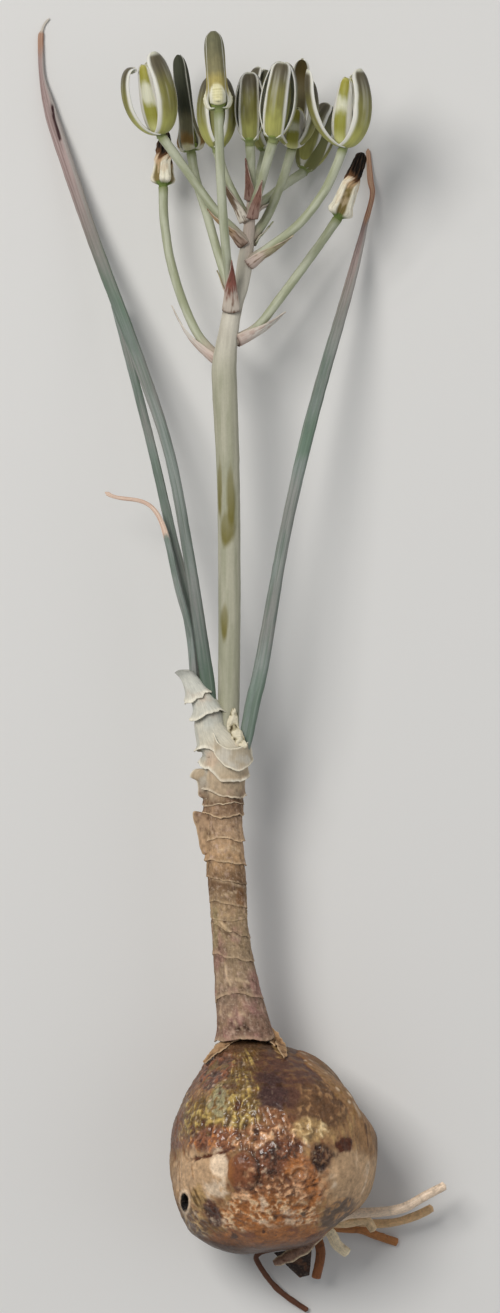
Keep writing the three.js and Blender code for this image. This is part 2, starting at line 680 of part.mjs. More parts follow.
// A bract: a pointed papery half-sheath along the outer side of its stalk's foot
function bractBlade({ stalk, bract }) {
  const at = lineThrough(stalk.map((point) => [...point, STALK_RADIUS]));
  let length = 0;
  for (let i = 0; i < 60; i++) length += at((i + 1) / 60).centre.distanceTo(at(i / 60).centre);
  const BRACT = { wrap: 1.45, clearance: 0.85, foot: 2.4, flare: 0.6 };
  const sheet = (u, v) => {
    const share = THREE.MathUtils.clamp(u, 0, 1);
    const t = THREE.MathUtils.clamp((BRACT.foot + u * bract) / length, 0, 1);
    const { centre, radius, along } = at(t);
    const out = TOWARDS_BULB.clone()
      .addScaledVector(along, -TOWARDS_BULB.dot(along))
      .normalize();
    const side = along.clone().cross(out);
    const turn = v * BRACT.wrap * (1 - 0.93 * share ** 0.8);
    const reach = radius + BRACT.clearance + BRACT.flare * share ** 3;
    return centre
      .clone()
      .addScaledVector(out, reach * Math.cos(turn))
      .addScaledVector(side, reach * Math.sin(turn));
  };
  return blade(sheet, { rows: 4, columns: 3 }, 0.6);
}

// The flower stem with all its stalks, grown by extra all round
function scapeWithStalks(extra = 0) {
  const axis = stem(SCAPE_LINE, { sides: TUBE_SIDES.scape, steps: SCAPE_STEPS, extra });
  const stalks = Object.values(FLOWERS).map(({ stalk }) => {
    const line = stalk.map((point) => [...point, STALK_RADIUS]);
    return stem(line, { sides: TUBE_SIDES.stalk, steps: stalk.length + 2, extra });
  });
  return joined([axis, ...stalks]);
}

// Materials

const finish = (color, roughness) => () => new THREE.MeshStandardMaterial({ color, roughness, metalness: 0 });
const FINISHES = {
  bulb: finish(0x8a6244, 0.45),
  root: finish(0xb59d7c, 0.6),
  torn_scale: finish(0x9a8260, 0.5),
  sheath: finish(0xb79f86, 0.85),
  leaf: finish(0x7c9189, 0.6),
  scape: finish(0xa6ab93, 0.6),
  bract: finish(0xa5796b, 0.8),
  fresh_flower: finish(0xb7bd98, 0.5),
  faded_flower: finish(0x8f8568, 0.7),
};

const plant = new THREE.Group();
plant.name = "albuca";

// Puts a solid into the plant as a named mesh with its own material
function place(name, solid, material, group) {
  const { vertProperties, triVerts } = solid.getMesh();
  const geometry = new THREE.BufferGeometry()
    .setAttribute("position", new THREE.BufferAttribute(new Float32Array(vertProperties), 3))
    .setIndex(new THREE.BufferAttribute(new Uint32Array(triVerts), 1));
  geometry.computeVertexNormals();
  const mesh = new THREE.Mesh(geometry, FINISHES[material]());
  mesh.name = name;
  group.add(mesh);
}

// Assembly

const underground = new THREE.Group();
const foliage = new THREE.Group();
const flowerHead = new THREE.Group();
plant.add(underground, foliage, flowerHead);

const bulbClearance = bulbBody(GAP);
const leafStem = (line, extra) =>
  stem(line, { sides: TUBE_SIDES.leaf, steps: line.length + 7, flatness: LEAF_FLATNESS, extra });
const scapeFoot = stem(SCAPE_LINE, { sides: TUBE_SIDES.scape, steps: SCAPE_STEPS, extra: GAP });
const leafFeet = Object.values(LEAVES).map((line) => leafStem(line, GAP));
const throughTheNeck = joined([scapeFoot, ...leafFeet]);
const neck = joined([neckBody(), ...NECK_FLAPS.map(neckFlap)]);
const neckClearance = joined([neckBody(), neckBody(GAP), neckBody(GAP, -GAP)]);
const neckSocket = stem(NECK_LINE.slice(0, 3), { sides: TUBE_SIDES.neck, steps: 4, extra: GAP + 0.7 });

place("bulb", onTheSurface(largest(bulbBody().subtract(neckSocket))), "bulb", underground);
place("basal_plate_and_roots", onTheSurface(rootsAndPlate(bulbClearance)), "root", underground);
place("torn_scale_pale", paleScale(bulbClearance), "torn_scale", underground);
place("torn_scale_dark", darkScale(bulbClearance), "torn_scale", underground);
place("neck_sheaths", largest(neck.subtract(throughTheNeck)), "sheath", foliage);
const insideTheSheath = neckClearance.add(throughTheNeck);
place("front_sheath", largest(frontSheath().subtract(insideTheSheath)), "sheath", foliage);
place("inner_shred", largest(innerShred().subtract(insideTheSheath)), "sheath", foliage);
for (const [name, line] of Object.entries(LEAVES)) {
  place(name, onTheSurface(leafStem(line, 0)), "leaf", foliage);
}

const scape = scapeWithStalks();
const scapeClearance = scapeWithStalks(GAP);
place("scape_and_stalks", scape, "scape", flowerHead);
for (const [name, flower] of Object.entries(FLOWERS)) {
  const faded = flower.kind === "spent" || flower.kind === "withered";
  const whole = flower.kind === "withered" ? witheredFlower(flower) : flowerBody(flower);
  const bloom = largest(whole.subtract(scapeClearance));
  place(`flower_${name}`, onTheSurface(bloom), faded ? "faded_flower" : "fresh_flower", flowerHead);
  place(`bract_${name}`, largest(bractBlade(flower).subtract(scapeClearance)), "bract", flowerHead);
}

export default plant;
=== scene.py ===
"""A whole albuca plant, lifted with its bulb and laid on a pale floor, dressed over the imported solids.

Sizes and places are in millimetres in the frame of the solids, with +Y from the bulb to the flowers and +Z
up; make_piece turns them into metres. The lines of stems, leaves, roots and flowers are those of the solids.
Every point of a surface carries three looks that the materials read: its paint, its grain (millimetres
along, across and through the fibres) and how wet it is.
"""

import bpy
import numpy as np
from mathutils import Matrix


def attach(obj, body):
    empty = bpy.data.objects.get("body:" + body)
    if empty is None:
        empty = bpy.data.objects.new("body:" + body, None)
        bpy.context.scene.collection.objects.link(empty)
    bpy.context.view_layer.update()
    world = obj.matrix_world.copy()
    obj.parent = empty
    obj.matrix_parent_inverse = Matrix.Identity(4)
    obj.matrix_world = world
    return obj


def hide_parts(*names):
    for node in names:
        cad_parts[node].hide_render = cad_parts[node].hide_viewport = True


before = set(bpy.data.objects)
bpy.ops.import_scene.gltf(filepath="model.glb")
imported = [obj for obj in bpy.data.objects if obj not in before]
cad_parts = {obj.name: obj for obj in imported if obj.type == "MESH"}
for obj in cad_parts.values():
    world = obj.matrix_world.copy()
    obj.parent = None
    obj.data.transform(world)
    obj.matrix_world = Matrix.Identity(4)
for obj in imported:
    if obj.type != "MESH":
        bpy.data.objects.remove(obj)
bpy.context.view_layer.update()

MM = 0.001
UP = np.array([0.0, 0.0, 1.0])
TOWARDS_BULB = np.array([0.0, -1.0, 0.0])


# Camera, floor and light

# The camera's place, the middle of the plant and half the width of the floor, in metres
CAMERA_PLACE = (-0.00557, 0.1249, 1.8727)
PLANT_MIDDLE = np.array([0.0, 0.12, 0.02])
FLOOR_HALF = 2.5


def add_camera():
    """The photograph's view: straight down from far above, with the plant upright in the tall frame."""
    camera = bpy.data.cameras.new("camera")
    camera.lens = 200
    camera.sensor_width = 36
    seen = bpy.data.objects.new("camera", camera)
    seen.location = CAMERA_PLACE
    bpy.context.scene.collection.objects.link(seen)
    bpy.context.scene.camera = seen


def add_light(name, place, size, power, tint):
    """A square soft light at a place in metres, turned to face the middle of the plant."""
    lamp = bpy.data.lights.new(name, "AREA")
    lamp.size = size
    lamp.energy = power
    lamp.color = tint
    light = bpy.data.objects.new(name, lamp)
    x, y, z = PLANT_MIDDLE - place
    light.location = place
    light.rotation_euler = (np.arctan2(np.hypot(x, y), -z), 0, np.arctan2(-x, y))
    bpy.context.scene.collection.objects.link(light)


def add_studio():
    """Pale floor, even grey sky, a large key light from the upper left, a small one beside it that glints
    on wet skin, and a weak one from the right."""
    corners = [(x * FLOOR_HALF, y * FLOOR_HALF, 0) for x, y in ((-1, -1), (1, -1), (1, 1), (-1, 1))]
    mesh = bpy.data.meshes.new("floor")
    mesh.from_pydata(corners, [], [(0, 1, 2, 3)])
    floor = bpy.data.objects.new("floor", mesh)
    bpy.context.scene.collection.objects.link(floor)
    look = bpy.data.materials.new("floor")
    look.use_nodes = True
    paint = look.node_tree.nodes["Principled BSDF"]
    paint.inputs["Base Color"].default_value = (0.74, 0.73, 0.71, 1)
    paint.inputs["Roughness"].default_value = 0.9
    mesh.materials.append(look)
    world = bpy.data.worlds.new("studio")
    world.use_nodes = True
    sky = world.node_tree.nodes["Background"]
    sky.inputs["Color"].default_value = (0.93, 0.96, 1, 1)
    sky.inputs["Strength"].default_value = 0.3
    bpy.context.scene.world = world
    add_light("key", (-0.58, 0.62, 1.35), 0.6, 15, (1, 0.98, 0.95))
    add_light("fill", (0.9, 0.1, 0.8), 0.9, 1.5, (0.95, 0.97, 1))
    add_light("spark", (-0.75, 0.8, 1.05), 0.08, 0.4, (1, 1, 1))


# Arrays

def unit(vectors):
    """Vectors scaled to length one."""
    return vectors / np.maximum(np.linalg.norm(vectors, axis=-1, keepdims=True), 1e-12)


def ramp(values, low, high):
    """Zero up to low, one from high on, and an S curve between; high below low turns it round."""
    share = np.clip((values - low) / (high - low), 0, 1)
    return share * share * (3 - 2 * share)


def tone(red, green, blue):
    """A colour given as it looks on a screen, 0 to 255, as light."""
    share = np.array([red, green, blue]) / 255
    return np.where(share < 0.04045, share / 12.92, ((share + 0.055) / 1.055) ** 2.4)


def mixed(first, second, share):
    """A share of the second colour in the first, for each point."""
    share = np.asarray(share)[..., None]
    return first * (1 - share) + second * share


def coated(paint, *coats):
    """A paint under coats, each given by its colour, or the name of it, and the share that it covers."""
    for colour, share in coats:
        paint = mixed(paint, PAINTS[colour] if isinstance(colour, str) else colour, share)
    return paint


def scaled(vectors, share):
    """Vectors, or a paint, times a share for each point."""
    return vectors * np.asarray(share)[..., None]


def swung(turn, first, second):
    """The first direction turned towards the second, by the cosine and the sine of the turn."""
    return scaled(first, np.cos(turn)) + scaled(second, np.sin(turn))


def bell(values):
    """One where the values are zero, and less on either side by the exponential of minus their square."""
    return np.exp(-(values**2))


def joined(*fields):
    """Vectors with one field for each of their parts, spread to the same shape."""
    return np.stack(np.broadcast_arrays(*fields), -1)


def crossed(down, along):
    """Two fields of a grid: the first changes down its rows and the second along them."""
    return np.meshgrid(down, along, indexing="ij")


def turns(count):
    """Even turns round a ring, in radians from zero."""
    return np.linspace(0, 2 * np.pi, count + 1)[:-1]


def away_from(places, middle, half=(1, 1)):
    """Distance from a middle, seen from above, in shares of an ellipse's half width and half height."""
    return np.hypot((places[..., 0] - middle[0]) / half[0], (places[..., 1] - middle[1]) / half[1])


def noise(places, size, seed=0):
    """Random values from -1 to 1 on a lattice of that size, blended between its corners by S curves."""
    cell = np.asarray(places, float) / size
    low = np.floor(cell).astype(np.int64)
    near = cell - low
    near = near * near * (3 - 2 * near)
    total = np.zeros(cell.shape[:-1])
    for corner in np.ndindex(2, 2, 2):
        at = low + corner
        code = at[..., 0] * 374761393 + at[..., 1] * 668265263 + at[..., 2] * 2147483647 + seed * 974634777
        code = ((code & 0xFFFFFFFF) ^ ((code & 0xFFFFFFFF) >> 13)) * 1274126177
        code = ((code & 0xFFFFFFFF) ^ ((code & 0xFFFFFFFF) >> 16)) & 0xFFFFFF
        weight = np.prod(np.where(np.array(corner) == 1, near, 1 - near), axis=-1)
        total += weight * (code / 0x7FFFFF - 1)
    return total


def rough_noise(places, size, seed=0, octaves=4):
    """Noise of a size plus ever finer noise of half the size and height."""
    return sum(noise(places, size / 2**i, seed + i) / 2**i for i in range(octaves))


def ring_noise(along, turn, reach, size, seed, octaves=4):
    """Rough noise over a tube, at a place along it and a turn round it at that reach from its middle."""
    return rough_noise(joined(along, reach * np.cos(turn), reach * np.sin(turn)), size, seed, octaves)


def line(points, shares):
    """Points on a smooth line through the given ones: between two of them, the cubic that leaves and
    reaches each with half the step between its neighbours."""
    points = np.asarray(points, float)
    last = len(points) - 1
    place = np.clip(shares, 0, 1) * last
    span = np.minimum(place.astype(int), last - 1)
    f = (place - span)[..., None]
    points = np.vstack([2 * points[0] - points[1], points, 2 * points[-1] - points[-2]])
    a, b, c, d = (points[span + i] for i in range(4))
    return b + 0.5 * f * (c - a + f * (2 * a - 5 * b + 4 * c - d + f * (3 * b - a - 3 * c + d)))


def even_shares(points, count):
    """Shares that cut a line into equally long steps, and the line's length."""
    shares = np.linspace(0, 1, 400)
    places = line(points, shares)[:, :3]
    length = np.append(0, np.cumsum(np.linalg.norm(np.diff(places, axis=0), axis=1)))
    return np.interp(np.linspace(0, length[-1], count), length, shares), length[-1]


def line_frame(points, shares):
    """Middle, radius, direction, side and upper side of a line of x, y, z and radius at each share."""
    here = line(points, shares)
    step = 1e-3
    along = unit((line(points, shares + step) - line(points, shares - step))[:, :3])
    side = unit(np.cross(along, UP))
    return here[:, :3], here[:, 3], along, side, np.cross(side, along)


# Surfaces: each is a dictionary of points, faces and looks

def looks(places, paint, grain=None, wet=0.0):
    """The looks of a grid of points, spread over it where one value is given for all."""
    shape = places.shape[:-1]
    return {
        "paint": np.broadcast_to(paint, shape + (3,)),
        "grain": places if grain is None else grain,
        "wet": np.broadcast_to(wet, shape),
    }


def facing_out(surface):
    """The same closed surface, with its faces turned round if their signed volume is negative."""
    volume = 0.0
    for faces in surface["faces"]:
        for i in range(1, faces.shape[1] - 1):
            a, b, c = (surface["places"][faces[:, k]] for k in (0, i, i + 1))
            volume += np.einsum("ij,ij->", a, np.cross(b, c))
    if volume < 0:
        surface["faces"] = [faces[:, ::-1] for faces in surface["faces"]]
    return surface


def skin(rings, look):
    """A closed surface over rings of points, (rows, columns, 3), with a point at the middle of each end
    ring, which has the mean looks of that ring."""
    rows, columns = rings.shape[:2]
    count = rows * columns
    grid = np.arange(count).reshape(rows, columns)
    beside = np.roll(grid, -1, axis=1)
    quads = joined(grid[:-1], beside[:-1], beside[1:], grid[1:]).reshape(-1, 4)
    ends = [joined(count, beside[0], grid[0]), joined(count + 1, grid[-1], beside[-1])]
    surface = {"faces": [quads, np.vstack(ends)]}
    for name, values in {"places": rings, **look}.items():
        poles = [values[end].reshape(columns, -1).mean(0) for end in (0, -1)]
        surface[name] = np.vstack([values.reshape(count, -1), *poles])
    return facing_out(surface)


def slab(sheet, thickness, front, back=None, round_trip=False):
    """A thin blade: a sheet of points, (rows, columns, 3), moved out and in along its normal by half the
    thickness, with a rim between. A round trip joins the last column to the first. Front is the face on the
    side of the cross product of a step down the rows and a step along the columns; the back looks like it
    where it has no looks of its own."""
    rows, columns = sheet.shape[:2]
    count = rows * columns
    grid = np.arange(count).reshape(rows, columns)
    if round_trip:
        across = np.roll(sheet, -1, axis=1) - np.roll(sheet, 1, axis=1)
        here, beside = grid, np.roll(grid, -1, axis=1)
        rims = [(grid[0], 1), (grid[-1], -1)]
    else:
        across = np.gradient(sheet, axis=1)
        here, beside = grid[:, :-1], grid[:, 1:]
        rims = [(np.concatenate([grid[0], grid[1:, -1], grid[-1, -2::-1], grid[-2:0:-1, 0]]), 1)]
    out = unit(np.cross(np.gradient(sheet, axis=0), across))
    out = scaled(out, np.broadcast_to(np.asarray(thickness) / 2, (rows, columns)))
    quads = joined(here[:-1], here[1:], beside[1:], beside[:-1]).reshape(-1, 4)
    faces = [quads, quads[:, ::-1] + count]
    for walk, way in rims:
        following = np.roll(walk, -1)
        faces.append(joined(walk, following, following + count, walk + count)[:, ::way])
    surface = {"faces": faces, "places": np.concatenate([sheet + out, sheet - out]).reshape(-1, 3)}
    for name in front:
        both = [look[name].reshape(count, -1) for look in (front, back or front)]
        surface[name] = np.vstack(both)
    return facing_out(surface)


def above_floor(surfaces):
    """The same surfaces, with the points under the floor lifted onto it."""
    for surface in surfaces:
        surface["places"][:, 2] = np.maximum(surface["places"][:, 2], 0)
    return surfaces


def make_piece(name, surfaces, node, material):
    """One object from its surfaces, in place of a solid."""
    faces = []
    first = 0
    for surface in surfaces:
        for group in surface["faces"]:
            faces += (group + first).tolist()
        first += len(surface["places"])
    places = np.vstack([surface["places"] for surface in surfaces]) * MM
    mesh = bpy.data.meshes.new(name)
    mesh.from_pydata(places.tolist(), [], faces)
    mesh.shade_smooth()
    for look, kind, field in (("paint", "FLOAT_COLOR", "color"), ("grain", "FLOAT_VECTOR", "vector"),
                              ("wet", "FLOAT", "value")):
        values = np.vstack([surface[look] for surface in surfaces])
        if look == "paint":
            values = np.hstack([values, np.ones((len(values), 1))])
        attribute = mesh.attributes.new(look, kind, "POINT")
        attribute.data.foreach_set(field, values.astype(np.float32).ravel())
    mesh.materials.append(material)
    piece = bpy.data.objects.new(name, mesh)
    bpy.context.scene.collection.objects.link(piece)
    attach(piece, "root")
    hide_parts(node)


# Materials

# Between these lie nearly all values of the fine noise
NOISE_LOW, NOISE_HIGH = 0.32, 0.68
PALE_FLECK_AND_GLINT_COLOUR = (0.76, 0.58, 0.44, 1)
COAT_ROUGHNESS = 0.18


def plant_material(name, *, fibre, contrast, relief, rough, speckle=0.0, speckle_size=1.0, flecks=0.0,
                   shine=0.25, coat=0.0, soft=0.0):
    """Paint from the surface, darkened and lightened along its fibres and by speckles, with fine relief.

    Fibre gives the length and the width of the fibres in millimetres, relief the height of the grain in
    millimetres, and rough the roughness. The wetter the surface, the more speckles, pale flecks, relief and
    coat it has; the pale flecks are partly painted glints.
    """
    material = bpy.data.materials.new(name)
    material.use_nodes = True
    nodes, links = material.node_tree.nodes, material.node_tree.links
    surface = nodes["Principled BSDF"]

    def node(kind, inputs=(), **settings):
        made = nodes.new("ShaderNode" + kind)
        for key, value in settings.items():
            setattr(made, key, value)
        for key, value in dict(inputs).items():
            if isinstance(value, bpy.types.NodeSocket):
                links.new(value, made.inputs[key])
            else:
                made.inputs[key].default_value = value
        return made

    def mapped(value, low, high, from_low=NOISE_LOW, from_high=NOISE_HIGH):
        return node("MapRange", {"Value": value, "From Min": from_low, "From Max": from_high,
                                 "To Min": low, "To Max": high}).outputs["Result"]

    paint = node("Attribute", attribute_name="paint").outputs["Color"]
    grain = node("Attribute", attribute_name="grain").outputs["Vector"]
    wet = node("Attribute", attribute_name="wet").outputs["Fac"]
    length, width = fibre
    stretched = node("VectorMath", {0: grain, 1: (1 / length, 1 / width, 1 / width)}, operation="MULTIPLY")
    fibres = node("TexNoise", {"Vector": stretched.outputs[0], "Scale": 1.0, "Detail": 5.0,
                               "Roughness": 0.6})
    spots = node("TexNoise", {"Vector": grain, "Scale": 1 / speckle_size, "Detail": 6.0, "Roughness": 0.65})
    fibres, spots = fibres.outputs["Fac"], spots.outputs["Fac"]
    share = mapped(wet, 0.3, 1.0, 0.0, 1.0)
    strength = mapped(fibres, 1 - contrast, 1 + contrast)
    spotted = node("Math", {0: mapped(spots, -speckle, 1.2 * speckle), 1: share, 2: 1.0},
                   operation="MULTIPLY_ADD")
    both = node("Math", {0: strength, 1: spotted.outputs[0]}, operation="MULTIPLY")
    shaded = node("VectorMath", {0: paint, 3: both.outputs[0]}, operation="SCALE").outputs[0]
    if flecks:
        # Pale flecks where wet: partly pale specks and partly painted glints.
        fine = node("TexNoise", {"Vector": grain, "Scale": 1.5 / speckle_size, "Detail": 4.0})
        seen = node("Math", {0: mapped(fine.outputs["Fac"], 0.0, flecks, 0.52, 0.7), 1: wet},
                    operation="MULTIPLY")
        flecked = node("Mix", data_type="RGBA")
        links.new(seen.outputs[0], flecked.inputs["Factor"])
        links.new(shaded, flecked.inputs["A"])
        flecked.inputs["B"].default_value = PALE_FLECK_AND_GLINT_COLOUR
        shaded = flecked.outputs["Result"]
    links.new(shaded, surface.inputs["Base Color"])
    height = node("Math", {0: fibres, 1: spots}, operation="ADD")
    bump = node("Bump", {"Height": height.outputs[0], "Strength": share, "Distance": relief * MM})
    links.new(bump.outputs["Normal"], surface.inputs["Normal"])
    links.new(mapped(spots, rough - 0.1, rough + 0.1), surface.inputs["Roughness"])
    if coat:
        glaze = node("Math", {0: wet, 1: coat}, operation="MULTIPLY")
        links.new(glaze.outputs[0], surface.inputs["Coat Weight"])
        surface.inputs["Coat Roughness"].default_value = COAT_ROUGHNESS
    surface.inputs["Specular IOR Level"].default_value = shine
    surface.inputs["Subsurface Weight"].default_value = soft
    surface.inputs["Subsurface Radius"].default_value = (0.6, 0.5, 0.3)
    surface.inputs["Subsurface Scale"].default_value = MM
    return material


# Bulb

BULB_RADIUS = 25.8
BULB_CENTRE = np.array([0.5, 0.0, 25.3])
NECK_HEADING = 108
# Where the bulb swells or sinks: heading, tilt and spread in degrees, and height
BULB_SWELLINGS = [
    (115, 0, 19, 4.4), (36, 0, 17, -2.4), (27, 15, 8, -1.0), (-18, 0, 22, 1.1), (221, 0, 26, 3.3),
    (186, 10, 8, -0.9), (252, 0, 18, 1.5), (300, -32, 24, -2.2), (205, 66, 13, 1.0), (215, 4, 6, -2.2),
    (24, 0, 8, -2.6), (60, 0, 12, -1.3), (-50, 0, 15, -1.7), (144, 0, 9, 0.7), (190, 0, 8, 0.9),
]
PAINTS = {
    "tan": tone(158, 120, 82),
    "umber": tone(104, 74, 50),
    "grey brown": tone(112, 92, 76),
    "purple brown": tone(92, 62, 50),
    "plum": tone(74, 50, 46),
    "red brown": tone(124, 76, 50),
    "dark red": tone(86, 46, 28),
    "dark brown": tone(56, 32, 20),
    "olive": tone(108, 80, 38),
    "yellow": tone(170, 144, 80),
    "pale green": tone(160, 150, 112),
    "rust": tone(132, 86, 54),
    "orange": tone(168, 106, 56),
    "apricot": tone(204, 156, 116),
    "cream": tone(194, 160, 124),
    "white": tone(230, 204, 174),
    "straw": tone(178, 144, 96),
    "pale yellow": tone(210, 184, 138),
    "buff": tone(212, 176, 136),
    "painted shadow black": tone(8, 5, 4),
}
# Patches of the bulb's upper side, painted one over the other: middle, half width, half height and turn,
# the two paints, how much of the second one shows, which texture mixes them, the height of its relief and
# how wet it is
PATCHES = [
    ((-5.5, 27), (9, 5), 5, "grey brown", "umber", 0.5, "grains", 0.2, 0.5),
    ((-12.5, 19.5), (7, 7), 25, "purple brown", "red brown", 0.55, "folds", 0.35, 0.8),
    ((-22.4, 8.5), (3.6, 9), -15, "red brown", "umber", 0.4, "grains", 0.25, 0.6),
    ((-17, 7.5), (6, 7), 10, "olive", "yellow", 0.4, "folds", 0.4, 0.9),
    ((-6.2, 17.5), (4.8, 8), -10, "olive", "yellow", 0.42, "fibres", 0.35, 0.9),
    ((-8.2, 10.6), (6.4, 6), 0, "olive", "yellow", 0.5, "folds", 0.5, 1.0),
    ((-13.6, 13.2), (2.4, 3.6), 0, "pale green", "olive", 0.5, "folds", 0.3, 0.9),
    ((6, 18), (10, 8), -32, "purple brown", "umber", 0.4, "grains", 0.15, 0.3),
    ((0.2, 16), (3.4, 5), 10, "plum", "dark brown", 0.4, "grains", 0.15, 0.5),
    ((13, 12), (6.5, 6), -30, "umber", "tan", 0.4, "folds", 0.25, 0.4),
    ((2, 8.8), (4.6, 1.9), -22, "rust", "apricot", 0.5, "fibres", 0.4, 0.8),
    ((-13.6, 3.8), (7.5, 3.2), 10, "red brown", "orange", 0.4, "folds", 0.5, 1.0),
    ((-1, 3.6), (9.5, 5), 0, "rust", "apricot", 0.35, "folds", 0.5, 1.0),
    ((1.5, -1.5), (7.5, 5), 5, "red brown", "dark brown", 0.5, "folds", 0.5, 1.0),
    ((9, -5.5), (6.5, 7), 15, "orange", "rust", 0.5, "folds", 0.5, 0.8),
    ((0, -9), (10, 4), 0, "rust", "apricot", 0.5, "folds", 0.5, 0.9),
    ((-1.5, -15.2), (14.5, 5.2), 4, "orange", "buff", 0.45, "folds", 0.3, 0.8),
    ((-1.5, -22.6), (17, 4.8), 5, "orange", "red brown", 0.35, "lumps", 0.15, 0.5),
    ((-19, -6.2), (8, 6.4), 0, "cream", "tan", 0.4, "fibres", 0.25, 0.25),
    ((-13.3, -2.2), (2.2, 3.6), 8, "white", "cream", 0.35, "fibres", 0.2, 0.3),
    # On the left cheek: white that is partly pale skin and partly a painted highlight.
    ((-13.8, -8.4), (2.8, 2.5), 0, "white", "cream", 0.35, "grains", 0.2, 0.3),
    ((-18.6, -11.4), (1.5, 3.4), 10, "straw", "olive", 0.5, "fibres", 0.2, 0.4),
    ((-14.6, -15.8), (2.2, 3.8), 10, "dark red", "dark brown", 0.4, "grains", 0.3, 0.7),
    ((-19.6, -18), (4.4, 3.4), -38, "umber", "straw", 0.5, "folds", 0.25, 0.8),
    ((20.5, -6.5), (7.5, 8.5), 0, "cream", "white", 0.25, "lumps", 0.05, 0.1),
    ((9.8, 6.2), (4.6, 2.8), -10, "straw", "pale yellow", 0.45, "folds", 0.35, 0.6),
    ((11.9, 0.2), (3, 3.6), 0, "dark brown", "umber", 0.4, "folds", 0.5, 0.7),
    ((18.1, 2.6), (2.2, 1.7), -10, "dark red", "dark brown", 0.4, "grains", 0.2, 0.4),
    ((24, 4.5), (3, 5.5), 15, "tan", "umber", 0.45, "fibres", 0.15, 0.2),
    ((16.5, -15.5), (5.5, 3.6), 45, "grey brown", "tan", 0.4, "grains", 0.15, 0.3),
    ((1.9, 27), (1.6, 3.2), 15, "straw", "tan", 0.5, "fibres", 0.5, 0.2),
]
# Middle and half width and height of a hole eaten in the left cheek, and of a round lump with a groove round
# it; and the middle of a shallow pit
HOLE, HOLE_HALF = (-22.1, -12.7), (0.85, 2.0)
SCAR, SCAR_HALF = (-7.5, -3.9), (4, 5.1)
BOWL = (6.6, -4.4)
# A crease through these points, and small dark spots: places and sizes
CREASE = [(-21.6, -1.9), (-19.7, -1.3), (-16.1, -0.3), (-12.5, 0.9), (-9.6, 2.2)]
SPOTS = [(-9.6, -21, 1.3), (7.8, -14.9, 0.8), (0.8, -15.6, 0.8), (-2.1, -19.6, 0.5), (-3.9, 6, 0.9)]
# The old outer skin that is left beyond this line, given by its direction and distance
OUTER_SKIN = (np.array([0.73, 0.68]), 21.6)


def pointing(heading, tilt):
    """The direction with a heading from +X seen from above and a tilt from level, in degrees."""
    heading, tilt = np.radians(heading), np.radians(tilt)
    return np.array([np.cos(tilt) * np.cos(heading), np.cos(tilt) * np.sin(heading), np.sin(tilt)])


def bulb_radius(direction):
    """A sphere, plus a bell-shaped swelling round each listed direction, plus low waves."""
    radius = np.full(direction.shape[:-1], BULB_RADIUS)
    for heading, tilt, spread, height in BULB_SWELLINGS:
        away = np.arccos(np.clip(direction @ pointing(heading, tilt), -1, 1)) / np.radians(spread)
        radius = radius + height * bell(away)
    x, y, z = np.moveaxis(direction, -1, 0)
    return radius + 0.45 * (np.sin(6 * x + 2 * y + 1) * np.cos(5 * z - 2 * x) + np.sin(7 * y - 4 * z))


def bulb_top(x, y, lift):
    """Points that float a lift above the bulb's upper side, found by trying heights again and again."""
    z = BULB_CENTRE[2] + 10 + 0 * x
    for _ in range(25):
        away = joined(x, y, z) - BULB_CENTRE
        reach = bulb_radius(unit(away)) + lift
        level = reach**2 - away[..., 0] ** 2 - away[..., 1] ** 2
        z = 0.5 * z + 0.5 * (BULB_CENTRE[2] + np.sqrt(np.maximum(level, 0)))
    return joined(x, y, z)


def line_distance(places, points):
    """Distance, seen from above, from each place to a line of straight stretches between points."""
    nearest = np.full(places.shape[:-1], np.inf)
    for a, b in zip(np.array(points[:-1], float), np.array(points[1:], float)):
        share = np.clip((places[..., :2] - a) @ (b - a) / ((b - a) @ (b - a)), 0, 1)
        away = np.linalg.norm(places[..., :2] - a - scaled(b - a, share), axis=-1)
        nearest = np.minimum(nearest, away)
    return nearest


def bulb_textures(places, lean, turn):
    """Fields from about -1 to 1 that mix the paints and raise the relief: lumps, grains, fibres that run to
    the neck, and folds, sharp rims where one noise passes zero."""
    reach = round(BULB_RADIUS)
    bent = places + 0.9 * joined(noise(places, 3, 61), noise(places, 3, 62), 0)
    rims = 1 - 2.4 * np.abs(noise(bent, 2.2, 64) + 0.55 * noise(bent, 1, 65))
    return {
        "lumps": rough_noise(places, 5, 66),
        "grains": rough_noise(places, 1.6, 67),
        "fibres": (0.8 * ring_noise(reach * lean / 7, turn, reach, 1.3, 68)
                   + 0.4 * rough_noise(places, 1.4, 69)),
        "folds": 0.6 * rims + 0.5 * rough_noise(places, 1.3, 60),
    }


def patch_share(places, middle, half, turn):
    """One inside an ellipse with a torn edge, seen from above, and zero outside it and on the far side."""
    x = places[..., 0] - middle[0]
    y = places[..., 1] - middle[1]
    turn = np.radians(turn)
    across = (x * np.cos(turn) + y * np.sin(turn)) / half[0]
    up = (y * np.cos(turn) - x * np.sin(turn)) / half[1]
    torn = (2 * rough_noise(places, 4, 3, 2) + 1.3 * rough_noise(places, 1.5, 9, 3)) / min(8, sum(half))
    seen = ramp(places[..., 2] - BULB_CENTRE[2], -9, -2)
    return ramp(np.hypot(across, up) + torn, 1.3, 0.75) * seen


